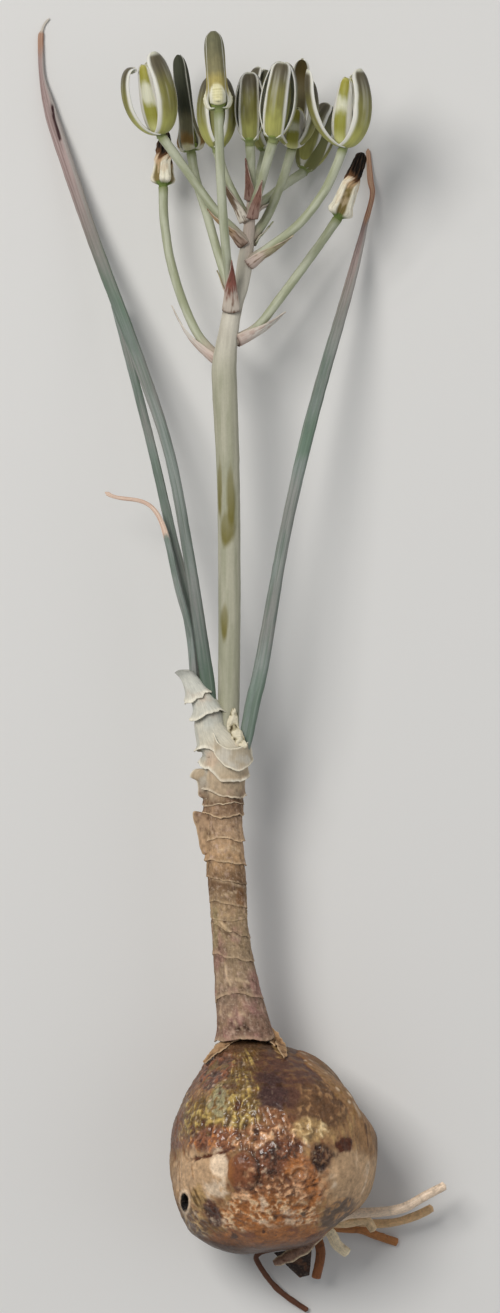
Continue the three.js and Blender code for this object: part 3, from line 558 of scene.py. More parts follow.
def patched(places, textures):
    """The bulb's paint, relief and wetness: dry fibrous skin, the patches over it, cracks, specks and dried
    scale in the wet ones, pale flecks there that are partly painted glints, and the strip of old outer skin."""
    fibres, grains, lumps = textures["fibres"], textures["grains"], textures["lumps"]
    x, y = places[..., 0], places[..., 1]
    paint = coated(PAINTS["tan"], ("straw", ramp(fibres, 0, 0.8)),
                   ("red brown", ramp(fibres, -0.1, -0.8) * 0.8), ("olive", ramp(lumps, 0.2, 0.9) * 0.5))
    relief = 0.25 * fibres
    wet = 0.3
    for middle, half, angle, first, second, share, texture, high, damp in PATCHES:
        inside = patch_share(places, middle, half, angle)
        field = textures[texture]
        mottled = mixed(PAINTS[first], PAINTS[second], ramp(field, 0.75 - 1.3 * share, 1.25 - 1.3 * share))
        # Randomly lighter and darker with the grains, and where the relief is high, painted shade in its
        # hollows and painted highlight on its ridges.
        grain_tone_and_painted_shade = np.clip(1 + 0.3 * grains + (high > 0.25) * 0.4 * field, 0.35, 1.5)
        paint = mixed(paint, scaled(mottled, grain_tone_and_painted_shade), inside)
        relief = relief * (1 - inside) + inside * high * field
        wet = wet * (1 - inside) + inside * damp

    soaked = ramp(wet, 0.5, 0.9)
    cracks = ramp(rough_noise(places, 3, 77) + 0.5 * textures["folds"], -0.25, -0.9) * soaked
    gold = ramp(rough_noise(places, 2.5, 78), 0.2, 0.8) * soaked * ramp(x - 0.4 * y, 2, -6)
    specks = ramp(noise(places, 1.1, 71) + 0.4 * noise(places, 0.5, 72), 0.6, 0.85)
    # Pale flecks in the wet parts: partly pale specks and partly painted glints.
    pale = ramp(noise(places, 0.9, 73) + 0.4 * noise(places, 0.5, 74), 0.5, 0.9) * ramp(wet, 0.35, 0.9)
    paint = coated(paint, ("dark red", cracks * 0.85), ("yellow", gold * ramp(y, 1, 6) * 0.35),
                   ("dark brown", specks * (0.2 + 0.5 * wet)), ("white", pale * 0.45))

    direction, distance = OUTER_SKIN
    beyond = x * direction[0] + y * direction[1] - distance + 0.7 * lumps + 0.25 * grains
    kept = ramp(beyond, -0.12, 0.18) * ramp(y, 7.5, 10)
    strip = coated(PAINTS["tan"], ("orange", ramp(y, 20, 25) * 0.6), ("olive", ramp(grains, 0, 0.6) * 0.7),
                   ("white", ramp(noise(places, 1.6, 75), 0.2, 0.7) * 0.6))
    paint = mixed(paint, scaled(strip, np.clip(1 + 0.3 * grains, 0.5, 1.4)), kept)
    return paint, relief * (1 - 0.6 * kept) + 0.3 * kept, wet * (1 - 0.6 * kept)


def marked(places, height, textures, paint, relief, wet):
    """The same with the marks on it: crease and spots, the scar's lump with bell-shaped groove, white mould,
    the pit with its rim, and the hole."""
    folds, grains = textures["folds"], textures["grains"]
    x, y = places[..., 0], places[..., 1]
    crease = line_distance(places, CREASE) + 0.45 * grains
    seen = ramp(height, -6, 0)
    relief = relief - 0.5 * ramp(crease, 0.7, 0.1) * seen
    paint = mixed(paint, PAINTS["dark red"], ramp(crease, 0.6, 0.15) * seen * ramp(x, -22, -19))
    for *spot, size in SPOTS:
        away = away_from(places, spot) + 0.3 * grains
        paint = mixed(paint, PAINTS["dark brown"], ramp(away, size, 0.5 * size) * seen * 0.85)

    away = away_from(places, SCAR, SCAR_HALF) + 0.07 * grains
    rightward = (x - SCAR[0]) / SCAR_HALF[0]
    high = ramp(height, 5, 12)
    inside = ramp(away, 1.02, 0.88) * high
    # Painted shade: the groove is dark brown, faintly all round and deeply on the lump's right side.
    groove = bell((away - 1.06) / 0.1) * (0.25 + 0.75 * ramp(rightward, 0, 0.8)) * high
    flank = ramp(rightward + 0.1 * grains, -0.35, -0.75)
    # Painted shade too: the lump's dark brown lies in the hollows of its folds.
    lump = coated(PAINTS["red brown"], ("dark brown", ramp(folds, 0.1, -0.6) * 0.7),
                  ("apricot", ramp(grains, 0.35, 1) * 0.7),
                  (mixed(PAINTS["rust"], PAINTS["orange"], 0.4), flank))
    raised = 0.55 * ramp(away, 1, 0.7) + 0.3 * folds * (1 - flank)
    relief = relief * (1 - inside) + inside * raised - 0.6 * groove
    wet = wet * (1 - 0.4 * inside * flank)
    mould = ramp(rough_noise(places, 2.4, 76), 0.35, 1) * ramp(y, -8, -12) * ramp(wet, 0.4, 0.8)
    paint = coated(paint, (lump, inside), ("dark brown", groove * 0.9), ("white", mould * 0.7))

    away = away_from(places, BOWL) + 0.3 * grains
    rim = bell((away - 2) / 0.35) * high
    paint = mixed(paint, PAINTS["apricot"], rim * 0.5 + 0.4 * ramp(away, 1.6, 0.6) * high)
    relief = relief + 0.3 * rim - 0.3 * ramp(away, 1.9, 1) * high

    away = away_from(places, HOLE, HOLE_HALF)
    seen = ramp(height, -6, -2)
    pit = ramp(away, 1.1, 0.8) * seen
    # Painted shade and light: black inside the hole, and a white ring round it that is partly pale rim and
    # partly a painted glint.
    paint = coated(paint, ("white", bell((away - 1.5) / 0.28) * 0.7 * seen),
                   ("painted shadow black", ramp(away, 1.35, 1.1) * seen))
    return paint, relief * (1 - pit) - 3 * pit, wet


def bulb():
    """Directions round the line from base to neck, each carried out to the bulb's radius plus relief."""
    lean, turn = crossed(np.linspace(0.012, np.pi - 0.012, 252), turns(384))
    turn = turn + 0.35 * np.cos(turn)
    pole = pointing(NECK_HEADING, 0)
    side = np.cross(pole, UP)
    direction = (scaled(pole, -np.cos(lean)) + scaled(side, np.sin(lean) * np.cos(turn))
                 + scaled(UP, np.sin(lean) * np.sin(turn)))
    places = BULB_CENTRE + scaled(direction, bulb_radius(direction))
    height = places[..., 2] - BULB_CENTRE[2]
    textures = bulb_textures(places, lean, turn)
    paint, relief, wet = marked(places, height, textures, *patched(places, textures))
    # Painted shade: dark brown along the lowest edge, and all paint darker from a little above the bulb's
    # middle down.
    low = ramp(places[..., 1], -18.5, -24.5) * ramp(height, 18, 6)
    paint = coated(paint, ("umber", ramp(lean, 2.75, 3.0)), ("dark brown", low * 0.85))
    paint = scaled(paint, 1 - 0.35 * ramp(height, 9, 0))
    places = places + scaled(direction, relief)
    places[..., 2] = np.maximum(places[..., 2], 0)
    return skin(places, looks(places, paint, places, wet))


# Roots

ROOTS = [
    ([[10.8, -17.5, 12.5, 1.2], [15.3, -18.6, 13, 1.3], [19.9, -17.2, 13, 1.3], [27.6, -16.6, 14, 1.3],
      [33.4, -15.6, 14.5, 1.25], [39, -12.5, 15, 1.2], [44.3, -9.7, 15, 1.15]], tone(232, 208, 182)),
    ([[11, -18.5, 10, 1.1], [16.1, -20, 9, 1.15], [21.3, -19.5, 9, 1.15], [27.2, -20.1, 8, 1.1],
      [32.8, -19.4, 8, 1.05], [37.9, -17.6, 8, 1.1], [41.2, -15.8, 8, 1.1]], tone(206, 170, 126)),
    ([[11, -19, 9, 1], [16.2, -21.2, 6.5, 1.1], [22.6, -21.9, 4.5, 1.1], [27.8, -23.9, 2.2, 1.15],
      [32.4, -25.5, 0.9, 1.05]], tone(166, 110, 62)),
    ([[10.6, -18.4, 12.5, 1.3], [18.7, -19.6, 11.2, 1.3], [23.8, -19, 10.9, 1.25],
      [26.2, -21.8, 10.6, 1.1]], tone(216, 188, 148)),
    ([[9.5, -18, 13.5, 1.4], [14.6, -21.6, 14.6, 1.4], [16.6, -24.9, 14.6, 1.4],
      [19.6, -27.3, 14.4, 1.35]], tone(240, 222, 186)),
    ([[9.5, -18.5, 11.5, 1.2], [12.4, -26.6, 10.6, 1.25], [11.3, -34.1, 8.6, 1.2]], tone(134, 82, 46)),
    ([[8.5, -18.5, 9.5, 0.8], [2.8, -25.6, 6.5, 0.75], [-3, -27.8, 5, 0.7], [-3.6, -30.3, 4, 0.7],
      [1.6, -37.4, 2.2, 0.75], [9.3, -43, 0.9, 0.7]], tone(98, 60, 40)),
]
PLATE_CENTRE = np.array([9.6, -17.4, 11.6])
PLATE_RADIUS = 4.6


def round_section(turn):
    """A circle."""
    return np.cos(turn), np.sin(turn)


def tube(points, columns, step, paint, *, wrinkle, seed, section=round_section, wet=0.0):
    """A stem along a line of x, y, z and radius, with rings a step apart, round ends and fine wrinkles.

    Section gives the width and height of the ring's outline at each turn, and paint the colour for the share
    along the line, the turn round it and the place. Each end closes over two fifths of its radius."""
    count = max(int(even_shares(points, 2)[1] / step), 6)
    shares, length = even_shares(points, count)
    middle, radius, _, side, up = line_frame(points, shares)
    run = np.linspace(0, length, count)
    close = 0.4 * radius + 1e-6
    left = np.minimum(run, length - run)
    radius = radius * np.sqrt(np.clip(1 - (1 - np.clip(left / close, 0, 1)) ** 2, 0.02, 1))
    turn = turns(columns)
    wide, high = section(turn)
    rings = middle[:, None] + radius[:, None, None] * (
        wide[None, :, None] * side[:, None] + high[None, :, None] * up[:, None])
    rings = rings + scaled(unit(rings - middle[:, None]), wrinkle * rough_noise(rings, 2.5, seed))
    s, a = crossed(run / length, turn)
    around = np.sin(a / 2) * np.pi * radius[:, None]
    grain = joined(s * length, around + seed * 7, np.cos(a) * radius[:, None])
    return skin(rings, looks(rings, paint(s, a, rings), grain, wet))


def roots():
    """The domed basal plate and each root, wrinkled, paler where it was cut."""
    out = unit(PLATE_CENTRE - BULB_CENTRE)
    right = unit(np.cross(out, UP))
    front = np.cross(right, out)
    share, turn = crossed(np.linspace(-0.8, 0.97, 24), turns(48))
    ring = scaled(swung(turn, right, front), np.sqrt(1 - share**2))
    dome = PLATE_CENTRE + PLATE_RADIUS * (scaled(out, share) + ring)
    dome = dome + scaled(0.25 * unit(dome - PLATE_CENTRE), rough_noise(dome, 1.6, 4))
    surfaces = [skin(dome, looks(dome, mixed(tone(120, 84, 52), tone(178, 142, 98), ramp(share, 0.2, 0.8))))]
    for i, (points, tint) in enumerate(ROOTS):
        def paint(s, a, _, tint=tint, i=i):
            spotted = mixed(tint, tint * 0.45, ramp(ring_noise(s * 30, a, 1, 1.6, i), 0.1, 0.9) * 0.7)
            return mixed(spotted, tint * 1.15, ramp(s, 0.965, 0.985))
        surfaces.append(tube(points, 20, 0.35, paint, wrinkle=0.09, seed=i, wet=0.5))
    return above_floor(surfaces)


# Torn scales at the bulb's lower edge

def torn_scale_pale():
    """A narrow boat-shaped blade along a line, arched across and curled at its edges."""
    points = [[13.6, -21, 17.6, 0.7], [8.4, -25.4, 16.6, 1.5], [4, -28, 15.8, 1.4], [0.6, -29.6, 15, 0.7]]
    shares = np.linspace(0, 1, 60)
    v = np.linspace(-1, 1, 15)
    middle, radius, _, side, up = line_frame(points, shares)
    width = radius * (1 + 0.12 * np.sin(23 * shares))
    sheet = (middle[:, None] + scaled(side[:, None], width[:, None] * v)
             + scaled(up[:, None], 0.5 - 0.75 * v**2))
    sheet = sheet + scaled(UP, 0.15 * rough_noise(sheet, 1.5, 8))
    paint = coated(tone(132, 100, 80), (tone(206, 184, 150), ramp(np.abs(v), 0.6, 0.95)),
                   (tone(96, 58, 38), ramp(rough_noise(sheet, 1.2, 14), 0.3, 0.9)))
    return [slab(sheet, 0.45, looks(sheet, paint, wet=0.8))]


def torn_scale_dark():
    """A triangular blade that hangs from the bulb's lower edge, between its two upper corners and a tip."""
    left, right, low = np.array([[0.6, -27.4, 11], [10.2, -25.4, 12.5], [8.4, -33.4, 8.5]])
    u, v = crossed(np.linspace(0, 1, 30), np.linspace(-1, 1, 31))
    edge = left + scaled(right - left, (v + 1) / 2)
    tip = low + scaled(right - left, 0.125 * v)
    sheet = edge + scaled(tip - edge, u) + scaled(UP, 0.6 * np.sin(2 * v + 3 * u))
    sheet = sheet + scaled(UP, 0.2 * rough_noise(sheet, 1.8, 5))
    paint = mixed(tone(42, 26, 17), tone(88, 56, 34), ramp(rough_noise(sheet, 1.4, 6), -0.2, 0.8))
    return [slab(sheet, 0.5, looks(sheet, paint, wet=0.6))]


# Neck

NECK_LINE = [
    [-6.4, 24, 25.5, 7.6], [-7.5, 33, 25.5, 6.5], [-8.7, 40.5, 25.5, 5.7], [-9.8, 48, 25.5, 5],
    [-10.6, 55.5, 25.6, 4.6], [-11.1, 63.5, 25.8, 4.65], [-11.8, 72.5, 26, 4.8], [-12.3, 82, 26, 4.85],
    [-12.3, 90, 26, 5.1], [-11.9, 97.5, 26.2, 5.6], [-11.9, 101, 26.4, 5.8], [-15.1, 106, 26.8, 4.3],
    [-15.9, 110, 27.2, 3.9], [-17.6, 114, 27.6, 2.9], [-20.4, 118.4, 28, 2.1], [-22.4, 122, 28.5, 1.7],
]
# The torn lower edge of each old sheath: its height along y on the right, halfway to the front, in front,
# halfway to the left and on the left, and how far it stands out
NECK_EDGES = [
    ([28.7, 28.1, 28.4, 27.7, 27.3], 0.5), ([38.1, 38.7, 39.8, 39, 37], 0.25),
    ([47.7, 48, 48.6, 49.6, 49.3], 0.25), ([53.4, 53.9, 55.4, 57, 57.3], 0.22),
    ([59.8, 58.7, 58, 58.6, 58.8], 0.2), ([61.2, 61.6, 62.5, 63, 62.6], 0.25),
    ([67, 67.6, 68.6, 69.1, 69.1], 0.3), ([71.9, 72.5, 72.8, 73.5, 73.4], 0.45),
    ([78, 78, 79.3, 78.5, 77.5], 0.55), ([85, 84.6, 83.9, 85, 85.4], 0.5),
    ([87.6, 87.7, 87.5, 87, 87.4], 0.35), ([89.6, 88.9, 89.8, 91.1, 92], 0.75),
    ([94.8, 93.1, 93.4, 96.2, 98.2], 1.0), ([99.5, 98.6, 99.5, 102.6, 102.6], 1.0),
    ([108.3, 111.1, 110.8, 109.1, 109.8], 1.2), ([116.2, 115.8, 114.9, 114.2, 113.9], 1.2),
]
# Where the topmost sheath begins along y, and the height of the neck's middle over the floor
NECK_TOP = 121.4
NECK_HEIGHT = 26
# The sheaths' paint from the bulb up: heights along y and paints
SHEATH_PAINTS = [
    (30, tone(136, 107, 90)), (40, tone(154, 130, 108)), (52, tone(152, 130, 102)),
    (61, tone(166, 140, 108)), (67, tone(112, 86, 64)), (74, tone(180, 146, 110)),
    (82, tone(178, 148, 118)), (88, tone(116, 90, 69)), (94, tone(190, 170, 142)),
    (103, tone(208, 202, 184)), (120, tone(208, 208, 198)),
]
# Creases of the lower neck, thin folds seen from above
NECK_CREASES = [
    [(-14.9, 68.4), (-10.6, 67.6), (-7.1, 66.5)], [(-13.2, 58), (-10.6, 55.4), (-8.5, 53.9), (-5.6, 53.1)],
    [(-13.2, 35), (-9.9, 34.2), (-6.7, 34.8)], [(-11.8, 47), (-11.2, 43.6), (-10.4, 41.8)],
    [(-9.6, 33.2), (-8.2, 30.6), (-6.6, 31.6)], [(-13.6, 42.6), (-9.5, 43.6), (-6, 42.4)],
    [(-12.6, 64.6), (-9, 65.6)], [(-13.6, 75.8), (-10, 76.8), (-8.4, 75.6)],
]
# Flaps that hang off the left side: the free edge, the heights of the root, and the depths of both. All the
# roots are on one line along y
FLAP_ROOT = -15.6
NECK_FLAPS = [
    ([(-16.2, 74.9), (-17.7, 75.2), (-18.5, 78.5), (-19.1, 81.5), (-19.9, 84.4), (-19.6, 85.7), (-16.8, 85)],
     (75, 85.2), 29, 26.6),
    ([(-17.2, 88.8), (-18.6, 89.7), (-18.7, 91.5), (-19.1, 93.5), (-20.7, 94.6), (-19.6, 96.3), (-17, 96.4)],
     (89, 96.2), 28.6, 27.4),
]
# Shreds of the lowest sheath that lie on the bulb's shoulders: their middle line and half width
SHOULDER_SHREDS = [
    ([(-7.6, 29), (-11.6, 27.2), (-14.6, 25), (-17.2, 22.2)], 0.8),
    ([(-1.8, 31.4), (0.8, 29), (2.4, 26.4), (3.4, 24)], 1.1),
    ([(-3.4, 30.4), (-0.6, 28.6), (1, 26.8)], 0.7),
]
# Dark knots in the neck's foot: places and sizes
KNOTS = [(-8.4, 31, 1.0), (-6.9, 31.6, 0.8), (-10.2, 32, 0.5), (-6, 30.8, 0.6), (-14, 30.4, 0.4)]
FRONT_SHEATH = {
    "heading": [-25, 20, 55, 80, 100, 122], "rim": [104.2, 103.6, 102, 101.7, 102.8, 105.8],
    "edge": [100, 98, 96.2, 96.6, 98.6, 101.6], "centre": (-12, 26.4), "radius": 6.6,
}


def edge_height(heights, turn):
    """A torn edge's height at each turn round the neck, eased between its five measured heights; on the
    far side it lies between right and left."""
    behind = (heights[0] + heights[4]) / 2
    around = np.array([*heights, behind, behind, behind])
    eighth = turn / (2 * np.pi) * 8
    low = np.floor(eighth).astype(int)
    share = (1 - np.cos(np.pi * (eighth - low))) / 2
    return around[low % 8] * (1 - share) + around[(low + 1) % 8] * share


def neck_places(y, turn, out):
    """Points round the neck's line, where its middle passes the height that suits each point's side."""
    shares = np.linspace(0, 1, 600)
    middle, radius, _, side, up = line_frame(NECK_LINE, shares)
    share = np.interp(y, middle[:, 1], shares)
    for _ in range(2):
        tilt = np.interp(share, shares, side[:, 1]) * np.interp(share, shares, radius) * np.cos(turn)
        share = np.interp(y - tilt, middle[:, 1], shares)
    middle, side, up = (
        joined(*(np.interp(share, shares, part) for part in axis.T)) for axis in (middle, side, up))
    return middle + scaled(swung(turn, side, up), np.interp(share, shares, radius) + out)


def neck_paint(places, rim, seed):
    """Brown and granular below, ivory above, with faint clouds, darker hollows and a pale torn rim; the
    rim's pale paint also lies along the neck's creases as a painted highlight.
    """
    x, y = places[..., 0], places[..., 1]
    heights, paints = zip(*SHEATH_PAINTS)
    cloud = rough_noise(places, 5, 41 + seed)
    at = y + 1.5 * cloud
    paint = joined(*(np.interp(at, heights, part) for part in np.transpose(paints)))
    low = ramp(y, 96, 88)
    strip = ramp(np.abs(x + 14.3 + 0.3 * cloud), 1.1, 0.3) * ramp(np.abs(y - 56), 7, 4)
    stain = ramp(away_from(places, (-8.1, 63.5), (1.3, 3.4)) + 0.3 * cloud, 1.1, 0.5)
    paint = coated(
        paint,
        (tone(152, 110, 104), ramp(rough_noise(places, 4, 43), -0.1, 0.7) * ramp(y, 66, 50) * 0.65),
        (tone(140, 116, 84), ramp(rough_noise(places, 4, 46), 0.2, 0.9) * low * 0.5),
        (tone(186, 190, 184), ramp(rough_noise(places, 4, 47), 0, 0.8) * (1 - low) * 0.5),
        (tone(200, 166, 138), ramp(rough_noise(places, 5, 48), 0.1, 0.9) * (1 - low) * 0.5),
        (tone(152, 138, 98), strip * 0.6),
        (tone(122, 82, 50), stain * 0.6),
    )
    grains = rough_noise(places, 1, 45, 3)
    paint = scaled(paint, np.clip(1 + 0.35 * grains * (0.25 + 0.75 * low), 0.4, 1.6))
    return coated(
        paint,
        (tone(96, 64, 50), ramp(grains, -0.4, -1) * low * 0.45),
        (tone(196, 166, 146), ramp(rough_noise(places, 1.4, 44, 3), 0.4, 1) * low * 0.7),
        (mixed(tone(216, 188, 152), tone(236, 230, 212), ramp(y, 84, 96)), rim),
    )


def flap(free_edge, heights, root_z, free_z):
    """A crumpled blade between a root line and a free edge, bulging towards the camera between them."""
    u, v = crossed(np.linspace(0, 1, 22), np.linspace(0, 1, 50))
    free = line([[x, y, free_z] for x, y in free_edge], v[0])
    held = joined(FLAP_ROOT, np.interp(v[0], [0, 1], heights), root_z)
    sheet = held + scaled(free - held, u) + scaled(UP, 0.7 * np.sin(np.pi * u))
    sheet = sheet + scaled(np.array([0.4, 0.5, 1]), 0.25 * (rough_noise(sheet, 1.8, 60) * u))
    rim = ramp(np.maximum(u, np.abs(2 * v - 1)), 0.9, 1)
    return slab(sheet, 0.26, looks(sheet, neck_paint(sheet, rim, 3), joined(v * 10, u * 4, 0)))


def shoulder_shred(points, half_width, seed):
    """A torn strip that lies on the bulb along a line."""
    shares = np.linspace(0, 1, 60)
    middle = line(points, shares)
    along = unit(np.gradient(middle, axis=0))
    across = joined(-along[:, 1], along[:, 0])
    v = np.linspace(-1, 1, 15)
    torn = 1 + 0.4 * rough_noise(joined(shares * 9, 0, seed), 1.5, 57)
    width = half_width * torn * np.sqrt(np.clip(np.sin(np.pi * (0.1 + 0.86 * shares)), 0.05, 1))
    flat = middle[:, None] + scaled(across[:, None], width[:, None] * v)
    sheet = bulb_top(flat[..., 0], flat[..., 1], 0.55 + 0.35 * ramp(v, 0.2, -1))
    sheet = sheet + scaled(UP, 0.18 * rough_noise(sheet, 1.2, 58))
    paint = coated(tone(176, 140, 104), (tone(120, 90, 64), ramp(rough_noise(sheet, 1.4, 59), -0.3, 0.7)),
                   (tone(208, 178, 142), ramp(np.abs(v), 0.7, 1) * 0.8))
    return slab(sheet, 0.3, looks(sheet, paint))


def neck():
    """Sheath over sheath. Each is a tube from under the next one's torn edge down to its own, standing out
    by its lip times a mix of the 1.5th and the sixth power of the way down; the topmost is drawn out to a
    torn ear. Creases rise and knots sink by bells."""
    surfaces = []
    turn = turns(160)
    down = 1 - (1 - np.linspace(0, 1, 15)[:, None]) ** 1.5
    for i, (heights, lip) in enumerate(NECK_EDGES):
        around = joined(5 * np.cos(turn), 5 * np.sin(turn), 10 * i)
        ragged = 0.4 * rough_noise(around, 3, 50) + 0.16 * rough_noise(around, 0.9, 51, 2)
        low = edge_height(heights, turn) + ragged
        last = i == len(NECK_EDGES) - 1
        high = NECK_TOP if last else edge_height(NECK_EDGES[i + 1][0], turn) + 0.9
        y = high + (low - high) * down
        leftward = np.maximum(0, -np.cos(turn)) ** 2 * (i > 10)
        profile = 0.35 * down**1.5 + 0.65 * down**6 * (1 + 0.9 * leftward)
        flare = lip * profile * (1 + 0.35 * rough_noise(around, 2.5, 52)) - 0.15
        if last:
            flare = flare + 0.9 * leftward * bell((y - NECK_TOP) / 1.3)
        crumple = joined(5 * np.cos(turn), 5 * np.sin(turn), y / 2)
        sheet = neck_places(y, turn, flare + 0.13 * rough_noise(crumple, 2.2, 53 + i))
        in_front = sheet[..., 2] > NECK_HEIGHT
        fold = np.min([line_distance(sheet, crease) for crease in NECK_CREASES], axis=0)
        fold = np.where(in_front, fold + 0.12 * noise(sheet, 1, 55), 9)
        knot = np.max([bell(away_from(sheet, place) / size) for *place, size in KNOTS], axis=0) * in_front
        grainy = rough_noise(sheet, 1.2, 49, 3) * ramp(y, 92, 84) - 4 * knot
        out = unit(sheet - neck_places(y, turn, -3))
        sheet = sheet + scaled(out, 0.22 * bell(fold / 0.3) + 0.1 * grainy)
        rim = ramp(down, 0.86 + 0.06 * ramp(y, 96, 84), 0.96) * (0.35 + 0.65 * ramp(y, 62, 90))
        rim = rim * (0.55 + 0.45 * ramp(rough_noise(sheet, 3, 56), -0.4, 0.4))
        # Painted highlight: the pale rim paint along the ridge of each crease.
        rim = np.maximum(rim, 0.6 * bell(fold / 0.22))
        paint = mixed(neck_paint(sheet, rim, i), tone(46, 26, 20), knot)
        grain = joined(y, turn * 5, i)
        weathered = 0.15 + 0.85 * ramp(y, 94, 82)
        # Painted shade: each sheath is darker towards its top, under the lip of the one above, and its inner
        # face is painted at seven tenths of its paint.
        front = looks(sheet, scaled(paint, 1 - 0.4 * ramp(down, 0.3, 0)), grain, weathered)
        back = looks(sheet, paint * 0.7, grain)
        surfaces.append(slab(sheet, 0.24, back, front, round_trip=True))
    surfaces += [flap(*row) for row in NECK_FLAPS]
    surfaces += [shoulder_shred(*row, i) for i, row in enumerate(SHOULDER_SHREDS)]
    return surfaces


def front_sheath():
    """A sheath round the neck's front between a rim and a torn lower edge, both smooth lines. The lower edge
    stands out with the fourth power of the way to it and the rim with the sixth."""
    lines = np.array([FRONT_SHEATH["heading"], FRONT_SHEATH["rim"], FRONT_SHEATH["edge"]], float).T
    heading, rim, edge = line(lines, np.linspace(0, 1, 110)).T
    turn = np.radians(heading)
    u = np.linspace(0, 1, 24)[:, None]
    around = joined(6 * np.cos(turn), 6 * np.sin(turn), 0)
    low = edge + 0.3 * rough_noise(around, 2.5, 70)
    y = low + (rim + 0.12 * noise(around, 1.1, 73) - low) * u
    reach = FRONT_SHEATH["radius"] + 0.55 * (1 - u) ** 4 + 0.3 * u**6 - 0.1 * u
    reach = reach - 1.3 * ramp(heading, 102, 122)
    x0, z0 = FRONT_SHEATH["centre"]
    sheet = joined(x0 + reach * np.cos(turn), y, z0 + reach * np.sin(turn))
    sheet = sheet + scaled(unit(sheet - [x0, 0, z0]), 0.13 * rough_noise(sheet, 2.5, 71))
    cloud = rough_noise(sheet, 3, 72)
    paint = coated(tone(190, 176, 152), (tone(204, 196, 180), ramp(cloud, -0.4, 0.5)),
                   (tone(206, 178, 150), ramp(sheet[..., 1] + cloud, 98, 95) * 0.5),
                   (tone(244, 234, 210), np.maximum(ramp(u, 0.1, 0.01), ramp(u, 0.93, 0.99))))
    outside = looks(sheet, paint, joined(y, turn * 6, 0))
    return [slab(sheet, 0.3, outside, looks(sheet, mixed(paint, tone(206, 212, 208), 0.6)))]


def inner_shred():
    """A torn shred that stands in front of the stem's foot, crumpled and pierced by shadow."""
    u, v = crossed(np.linspace(0, 1, 56), np.linspace(-1, 1, 31))
    torn = 1 - 0.3 * rough_noise(joined(u * 9, v, 0), 2, 80)
    width = 2.1 * torn * (1 - 0.75 * u**1.5)
    sheet = joined(
        -8.9 - 1.1 * u + width * v + 0.4 * np.sin(8 * u),
        102 + 9.6 * u + 0.3 * np.sin(5 * v),
        31.2 - 0.6 * v * v + 0.3 * np.sin(7 * u),
    )
    crumple = rough_noise(sheet, 1.6, 81)
    sheet = sheet + scaled(UP, 0.6 * crumple)
    paint = coated(tone(228, 218, 192), (tone(150, 138, 96), ramp(crumple, 0.2, -0.2) * 0.6),
                   (tone(70, 58, 36), ramp(crumple, -0.1, -0.6)),
                   (tone(178, 140, 128), ramp(u, 0.16, 0.04) * ramp(v, 0.2, -0.4) * 0.7))
    return [slab(sheet, 0.26, looks(sheet, paint))]


# Leaves

LEAVES = {
    "leaf_long": [
        [-15.8, 99, 27, 1.1], [-15.9, 114, 28, 1.8], [-17.7, 128, 27.5, 1.7], [-21.1, 150.5, 26, 1.45],
        [-26.2, 177, 22, 1.4], [-34, 200.5, 16, 1.6], [-45.6, 231.5, 8, 1.65], [-54.8, 258.5, 2.9, 1.75],
        [-57.2, 266.5, 1.9, 1.5], [-58.9, 274, 1.2, 0.8], [-59.3, 282, 0.8, 0.75], [-59.2, 284.7, 0.7, 0.68],
        [-59, 285.5, 0.65, 0.34], [-58.2, 287.4, 0.6, 0.3], [-56.9, 288.8, 0.6, 0.34],
    ],
    "leaf_behind": [
        [-15.6, 99, 22.5, 1.3], [-17.6, 114, 23, 1.4], [-21.3, 139, 22, 1.3], [-25.1, 154.5, 21, 1.25],
        [-30.4, 177.5, 17.5, 1.15], [-36.3, 200.5, 12, 1.1], [-40.6, 215.5, 7.5, 0.7],
    ],
    "leaf_dry_tip": [
        [-18.4, 106.5, 26.9, 0.8], [-19.5, 116.5, 27.6, 0.95], [-21, 131.5, 27.4, 0.9],
        [-24, 143, 26.6, 0.85], [-26.8, 155.5, 25, 0.75], [-29.4, 161.5, 24, 0.6], [-33, 164.2, 23.4, 0.5],
        [-39.6, 165.3, 22.4, 0.5], [-42.4, 166.6, 22, 0.6],
    ],
    "leaf_right": [
        [-7.7, 98.5, 28, 1.1], [-6.4, 105, 29.2, 1.7], [-4.9, 113, 30.4, 1.9], [-2.4, 124, 30.2, 1.85],
        [3, 154.5, 27, 1.5], [10, 185, 22, 1.65], [18.8, 216, 12.5, 1.4], [21.9, 227.5, 8.5, 1.15],
        [23.9, 235.5, 5.6, 0.75], [25.8, 243.2, 3, 0.65], [25.3, 247.2, 1.6, 0.8], [24.7, 255.3, 0.6, 0.55],
    ],
}
# From which share of its length each leaf turns mauve and from which it is dry, its two dry paints, and how
# bright it is near the bulb
LEAF_AGE = {
    "leaf_long": (0.68, 0.93, tone(176, 142, 120), tone(150, 104, 86), 0.84),
    "leaf_behind": (1.3, 1.5, tone(176, 142, 120), tone(150, 104, 86), 1.04),
    "leaf_dry_tip": (1.3, 0.7, tone(226, 202, 182), tone(184, 142, 120), 1.0),
    "leaf_right": (0.74, 0.87, tone(196, 160, 132), tone(140, 84, 66), 1.1),
}
# A dark slit near the tip of the long leaf, seen from above
SLIT = [(-56.3, 266.4), (-55.8, 263), (-54.2, 257.4)]


def leaf_section(turn):
    """The outline of a leaf across: flatter than wide, with a shallow channel along its upper side."""
    return np.cos(turn), 0.72 * np.sin(turn) - 0.16 * bell((turn - np.pi / 2) / 0.42)


